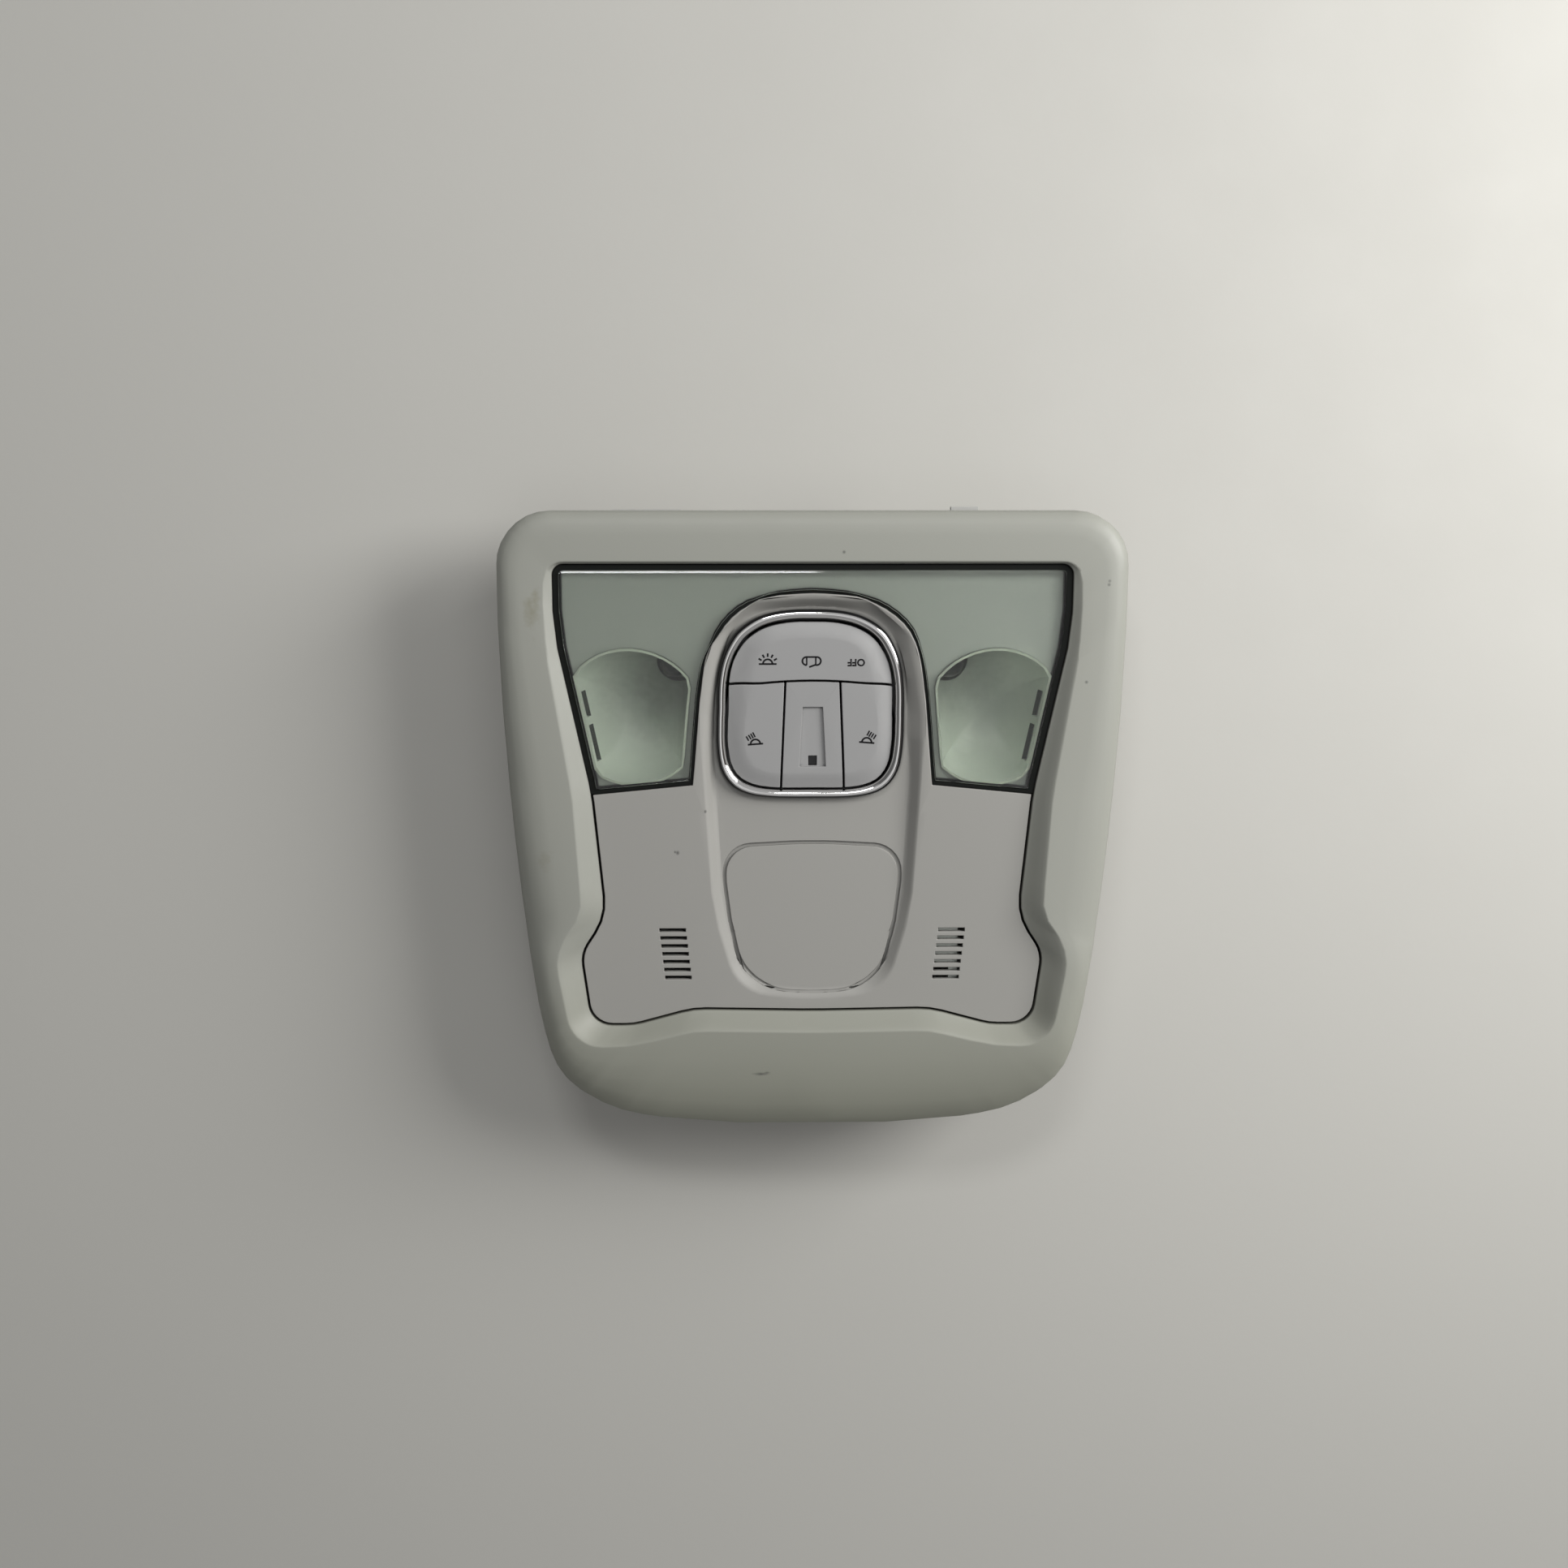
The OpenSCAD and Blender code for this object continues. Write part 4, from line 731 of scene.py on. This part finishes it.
def tilt_pad(bm):
    """Lets the channel's floor rise towards the tail, where its wall runs out softly."""
    hinge = CHANNEL_HINGE * mm
    level = FLOOR_Z + CHANNEL_DEPTH
    bmesh.ops.bisect_plane(bm, geom=bm.verts[:] + bm.edges[:] + bm.faces[:],
                           plane_co=(0, hinge, 0), plane_no=(0, 1, 0))
    for v in bm.verts:
        inside = abs(v.co.x) < CHANNEL_HALF * mm and v.co.y > CHANNEL_END * mm
        if inside and v.co.y < hinge and FLOOR_Z - CHANNEL_UNDER * mm < v.co.z < level:
            rise = PAD_RISE * (hinge - v.co.y) / (CHANNEL_RUN * mm)
            v.co.z += rise * min((level - v.co.z) / (level - FLOOR_Z), 1.0)


def slope_front(bm):
    """A narrow flat slope along the lens's windscreen edge, which catches the light."""
    front = max(v.co.y for v in bm.verts)
    top = max(v.co.z for v in bm.verts)
    start = front - FRONT_WIDTH * mm
    bmesh.ops.bisect_plane(bm, geom=bm.verts[:] + bm.edges[:] + bm.faces[:],
                           plane_co=(0, start, 0), plane_no=(0, 1, 0))
    for v in bm.verts:
        if v.co.y > start and v.co.z > top - TOUCH * mm:
            v.co.z -= FRONT_FALL * (v.co.y - start)


def lift_foot(bm):
    """Sets the lens's lower edge a little nearer to the lamps than the solids have it."""
    for v in bm.verts:
        x, y = abs(v.co.x / mm), v.co.y / mm
        across = ease_in(x, *FOOT_INNER) * (1 - ease_in(x, *FOOT_OUTER))
        v.co.y += FOOT_LIFT * across * ease_in(y, *FOOT_LOW) * (1 - ease_in(y, *FOOT_HIGH)) * mm


def node_copy(node):
    """A node's mesh as a bmesh, with its loose triangles merged and flat faces joined."""
    bm = bmesh.new()
    bm.from_mesh(frame["nodes"][node].data)
    bmesh.ops.remove_doubles(bm, verts=bm.verts, dist=2e-6)
    bmesh.ops.dissolve_limit(bm, angle_limit=radians(0.05), use_dissolve_boundaries=False,
                             verts=bm.verts, edges=bm.edges)
    # a flat face with a hole in it is cut up again, because rounding would close the hole
    bmesh.ops.triangulate(bm, faces=[f for f in bm.faces if len(f.verts) > 4], ngon_method="BEAUTY")
    return bm


def ease_edges(bm, where, width, steps=2, sharp=28):
    """Rounds the sharp edges that where() picks."""
    picked = [e for e in bm.edges if e.is_manifold and e.calc_face_angle(0) > radians(sharp)
              and where((e.verts[0].co + e.verts[1].co) / 2)]
    bmesh.ops.bevel(bm, geom=picked, offset=width * mm, offset_type="OFFSET", affect="EDGES",
                    segments=steps, profile=0.5, material=-1, clamp_overlap=False)


def smooth(piece, angle=32):
    """Shades a piece smooth, but for its edges sharper than the angle."""
    mesh = piece.data
    mesh.polygons.foreach_set("use_smooth", [True] * len(mesh.polygons))
    bm = bmesh.new()
    bm.from_mesh(mesh)
    for e in bm.edges:
        e.smooth = not (e.is_manifold and e.calc_face_angle(0) > radians(angle))
    bm.to_mesh(mesh)
    bm.free()


def body_of_node(node):
    """The moving body that a node belongs to."""
    for body, members in frame["record"]["behaviour"]["bodies"].items():
        if node in members:
            return body
    raise ValueError(node)


def dressed(node, name, finish, where=None, width=0.2, steps=2, angle=32, shapes=()):
    """A node's visible copy: reshaped, its edges rounded, and riding on the node's own body."""
    bm = node_copy(node)
    for shape in shapes:
        shape(bm)
    if where:
        ease_edges(bm, where, width, steps)
    piece = keep_object(name, bm, finish)
    smooth(piece, angle)
    even = piece.modifiers.new("even_faces", "WEIGHTED_NORMAL")
    even.keep_sharp = True
    even.weight = 80
    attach(piece, body_of_node(node))
    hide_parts(node)
    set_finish(piece, node)
    return piece


def chrome_trim(finish, base):
    """The bright ring round the buttons, with a rounder back than the plain solid's, and a painted dark
    reflection on its outer slope.
    """
    bm = node_copy("chrome_ring")
    top = max(v.co.z for v in bm.verts)
    for below, drop in RING_CREST:
        level = [v for v in bm.verts if abs(v.co.z - (top - below * mm)) < 0.03 * mm]
        bmesh.ops.translate(bm, verts=level, vec=(0, 0, -drop * mm))
    bmesh.ops.join_triangles(bm, faces=bm.faces, angle_face_threshold=radians(30),
                             angle_shape_threshold=radians(60))
    # the ring's outer slope gets the near-black finish: a painted dark reflection
    middle = Vector((CONSOLE_MIDDLE[0] * mm, CONSOLE_MIDDLE[1] * mm, 0))
    for f in bm.faces:
        away = f.calc_center_median() - middle
        angle = degrees(atan2(away.y, away.x)) % 360
        outer = away.xy.length / mm > reach_at(RING_REACH, angle) - DARK_REFLECTION_SLOPE
        f.material_index = 1 if outer else 0
    finer(bm, 0)
    round_console(bm)
    piece = keep_object("chrome_bezel", bm, finish)
    piece.data.materials.append(base)
    smooth(piece, 75)
    rounder = piece.modifiers.new("rounder", "SUBSURF")
    rounder.levels = rounder.render_levels = 2
    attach(piece, "console")
    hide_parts("chrome_ring")
    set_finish(piece, "chrome_ring")


# Legends

def stroke(bm, a, b, width):
    """A straight bar from a to b."""
    a, b = Vector((*a, 0)), Vector((*b, 0))
    along = b - a
    turn = Matrix.Rotation(atan2(along.y, along.x), 4, "Z")
    place = Matrix.Translation((a + b) / 2) @ turn @ Matrix.Diagonal((along.length, width, 1, 1))
    bmesh.ops.create_grid(bm, x_segments=4, y_segments=1, size=0.5, matrix=place)


def arc(bm, centre, radius, start, turn, width):
    """A bent bar: part of a ring, from start degrees through turn degrees."""
    way = Vector((cos(radians(start)), sin(radians(start)), 0))
    middle = Vector((*centre, 0))
    inner = bm.verts.new(middle + way * (radius - width / 2))
    outer = bm.verts.new(middle + way * (radius + width / 2))
    edge = bm.edges.new((inner, outer))
    bmesh.ops.spin(bm, geom=[inner, outer, edge], cent=middle, axis=(0, 0, 1),
                   angle=radians(turn), steps=max(4, int(turn / 12)), use_merge=turn >= 359)


INK_LINE = 0.6


def dome(bm, centre, radius, half_base, tilt=0.0):
    """A lamp's half dome standing on its base line."""
    cx, cy = centre
    along = Vector((cos(radians(tilt)), sin(radians(tilt))))
    arc(bm, centre, radius, tilt, 180, INK_LINE)
    base = Vector(centre)
    stroke(bm, base - along * half_base, base + along * half_base, INK_LINE)


def map_lamp(bm, centre, side):
    """A dome with four strokes of light going up and outwards to one side."""
    dome(bm, centre, 1.65, 2.6, -side * 4.5)
    c = Vector(centre)
    for near, far in (((0.09, 2.4), (0.95, 4.05)), ((0.74, 2.03), (1.65, 3.6)),
                      ((1.5, 1.7), (2.38, 3.15)), ((2.29, 1.17), (3.17, 2.68))):
        stroke(bm, c + Vector((side * near[0], near[1])), c + Vector((side * far[0], far[1])), 0.5)


def lay_legend(bm, name, carrier, body, ink, thick=0.03):
    """Lays flat ink shapes on the face of their button."""
    carrier.data.calc_loop_triangles()
    skin = BVHTree.FromPolygons([v.co.copy() for v in carrier.data.vertices],
                                [t.vertices[:] for t in carrier.data.loop_triangles])
    bmesh.ops.recalc_face_normals(bm, faces=bm.faces)
    for f in bm.faces:
        if f.normal.z < 0:
            f.normal_flip()
    for v in bm.verts:
        v.co *= mm
    made = bmesh.ops.extrude_face_region(bm, geom=bm.faces[:])
    top = {v for v in made["geom"] if isinstance(v, bmesh.types.BMVert)}
    for v in bm.verts:
        hit = skin.ray_cast(Vector((v.co.x, v.co.y, ABOVE_PART)), Vector((0, 0, -1)))[0]
        v.co.z = (hit.z if hit else BUTTON_FACE) + (thick if v in top else -thick) * mm
    bmesh.ops.recalc_face_normals(bm, faces=bm.faces)
    piece = keep_object(name, bm, ink)
    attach(piece, body)
    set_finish(piece, carrier["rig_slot"])
    return piece


def sun_lamp(bm, centre):
    """Lamp on: a dome with five rays."""
    dome(bm, centre, 1.6, 3.0)
    c = Vector(centre)
    for a in (31, 61, 90, 119, 149):
        ray = Vector((cos(radians(a)), sin(radians(a))))
        stroke(bm, c + ray * 2.4, c + ray * 3.6, INK_LINE)


def open_door_car(bm, centre):
    """A car seen from above with one door standing open."""
    x, y = centre
    half = 1.36
    for side, bar in ((-1, -1.66), (1, 1.4)):
        arc(bm, (x + side * 1.75, y), half, 90 if side < 0 else -90, 180, INK_LINE)
        stroke(bm, (x + bar, y + half), (x + bar, y - half), 0.5)
        stroke(bm, (x + bar, y + half), (x + side * 1.76, y + half), INK_LINE)
        stroke(bm, (x + bar, y - half), (x + side * 1.76, y - half), INK_LINE)
    stroke(bm, (x - 1.66, y + half), (x + 1.4, y + half), INK_LINE)
    stroke(bm, (x + 1.5, y - 1.2), (x - 0.8, y - 2.05), INK_LINE)


def off_word(centre, height):
    """The word, upside down to the camera as it is printed for the seats."""
    words = bpy.data.curves.new("off_word", "FONT")
    words.body = "OFF"
    words.size = height / 0.73
    words.offset = 0.11
    words.align_x = "CENTER"
    words.align_y = "CENTER"
    words.resolution_u = 4
    holder = bpy.data.objects.new("off_word", words)
    scene.collection.objects.link(holder)
    bpy.context.view_layer.update()
    flat = bpy.data.meshes.new_from_object(holder)
    bpy.data.objects.remove(holder)
    bm = bmesh.new()
    bm.from_mesh(flat)
    bmesh.ops.remove_doubles(bm, verts=bm.verts, dist=1e-4)
    bmesh.ops.transform(bm, matrix=Matrix.Translation((*centre, 0)) @ Matrix.Rotation(pi, 4, "Z"),
                        verts=bm.verts)
    return bm


def button_legends(rocker, left, right, ink):
    """All five legends, each on its own cap."""
    bm = bmesh.new()
    sun_lamp(bm, (-15.2, 56.7))
    lay_legend(bm, "lamp_on_legend", rocker, "rocker", ink)
    bm = bmesh.new()
    open_door_car(bm, (-0.4, 57.7))
    lay_legend(bm, "door_legend", rocker, "rocker", ink)
    lay_legend(off_word((14.7, 57.3), 2.45), "off_legend", rocker, "rocker", ink)
    for side, centre, cap, body in ((-1, (-19.4, 29.4), left, "left_push"),
                                    (1, (18.4, 29.9), right, "right_push")):
        bm = bmesh.new()
        map_lamp(bm, centre, side)
        lay_legend(bm, body + "_legend", cap, body, ink)


# Build

FACE_HEIGHT = 39.5
CAP_TOP_HEIGHT = 40.5
PLATE_THICKNESS = 3.6
VENT_HEIGHTS = (32, 37.8)
LEVEL = 0.98

CARRIED_OVER = {
    "light_guide": "guide", "switch_frame": "black", "rocker_pin": "steel", "slide_knob": "black",
    "slide_switch": "black", "push_switches": "black", "left_plunger": "housing",
    "right_plunger": "housing", "ambient_led": "white", "circuit_board": "board",
    "connector_shell": "black", "connector_pins": "contact", "left_bulb_holder": "black",
    "right_bulb_holder": "black", "left_contact": "contact", "right_contact": "contact",
    "microphone": "white", "spring_clips": "steel", "bezel_screws": "steel",
    "panel_screws": "steel"}


def everywhere(place):
    return True


def on_face(place):
    return place.z > FACE_HEIGHT * mm


def on_cap_top(place):
    return place.z > CAP_TOP_HEIGHT * mm


def plain_floor():
    """A pale floor just under the part."""
    paint = plain_finish("floor_paint", srgb(182, 181, 176), 0.8, (3.0, 0.02, 0.7, 0.9))
    bm = bmesh.new()
    bmesh.ops.create_grid(bm, x_segments=1, y_segments=1, size=FLOOR_SIZE,
                          matrix=Matrix.Translation((0, 0, cad_box[0][2] - FLOOR_GAP)))
    floor = keep_object("floor", bm, paint.material)


def lamp_reflector(finish):
    """The reflector, with its plate, bowls and rims each in their own finish, and painted shade on the floors
    of its vents.
    """
    reflector = dressed("reflector", "reflector_moulding", finish["plate"], shapes=(finer, round_console))
    for name in ("reflector", "rim", "vent"):
        reflector.data.materials.append(finish[name])
    plate_slot, bowl_slot, rim_slot, vent_slot = range(4)
    rim_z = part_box("reflector")[1].z
    plate_under = rim_z - PLATE_THICKNESS * mm
    low, high = VENT_HEIGHTS
    for f in reflector.data.polygons:
        if f.normal.z > LEVEL and f.center.z > plate_under:
            f.material_index = rim_slot if f.center.z > rim_z - 0.1 * mm else plate_slot
        else:
            # the flat floor of each vent slot gets the dark vent finish: painted shade in the slit
            in_vent = abs(f.normal.z) > LEVEL and low * mm < f.center.z < high * mm
            f.material_index = vent_slot if in_vent else bowl_slot


def face_buttons(finish):
    """The three caps, the centre piece between them and their legends."""
    caps = {}
    for name in ("rocker", "left", "right"):
        caps[name] = dressed(name + "_button", name + "_cap", finish["button"], on_cap_top, 0.3, 3,
                             shapes=(finer, round_console))
    dressed("centre_insert", "centre_cap", finish["button"], on_cap_top, 0.25, 2,
            shapes=(finer, round_console))
    button_legends(caps["rocker"], caps["left"], caps["right"], finish["ink"])


def build():
    """The whole picture: camera, light, floor and every visible piece."""
    look_down_camera()
    studio_world()
    lamps()
    finish = make_finishes()
    plain_floor()
    round_edges = (finer, round_console, lift_foot)
    dressed("bezel", "bezel_moulding", finish["bezel"], everywhere, 0.35, 3)
    dressed("control_panel", "panel_moulding", finish["panel"], on_face, 0.25, 3,
            shapes=(cut_groove, finer, widen_well, widen_slope, tilt_pad, round_console, lift_foot))
    dressed("lens", "lens_sheet", finish["lens"], everywhere, 0.25, 3, 15, shapes=(slope_front, *round_edges))
    dressed("lens_gasket", "lens_seal", finish["seal"], shapes=round_edges)
    lamp_reflector(finish)
    chrome_trim(finish["chrome"], finish["dark_reflection"])
    face_buttons(finish)
    dressed("rear_housing", "housing_shell", finish["housing"], everywhere, 0.25, 2)
    dressed("left_bulb", "left_bulb_glass", finish["glass"])
    dressed("right_bulb", "right_bulb_glass", finish["glass"])
    for node, name in CARRIED_OVER.items():
        slots = frame["nodes"][node].data.materials
        slots.clear()
        slots.append(finish[name])


scene.view_settings.view_transform = "Standard"
build()
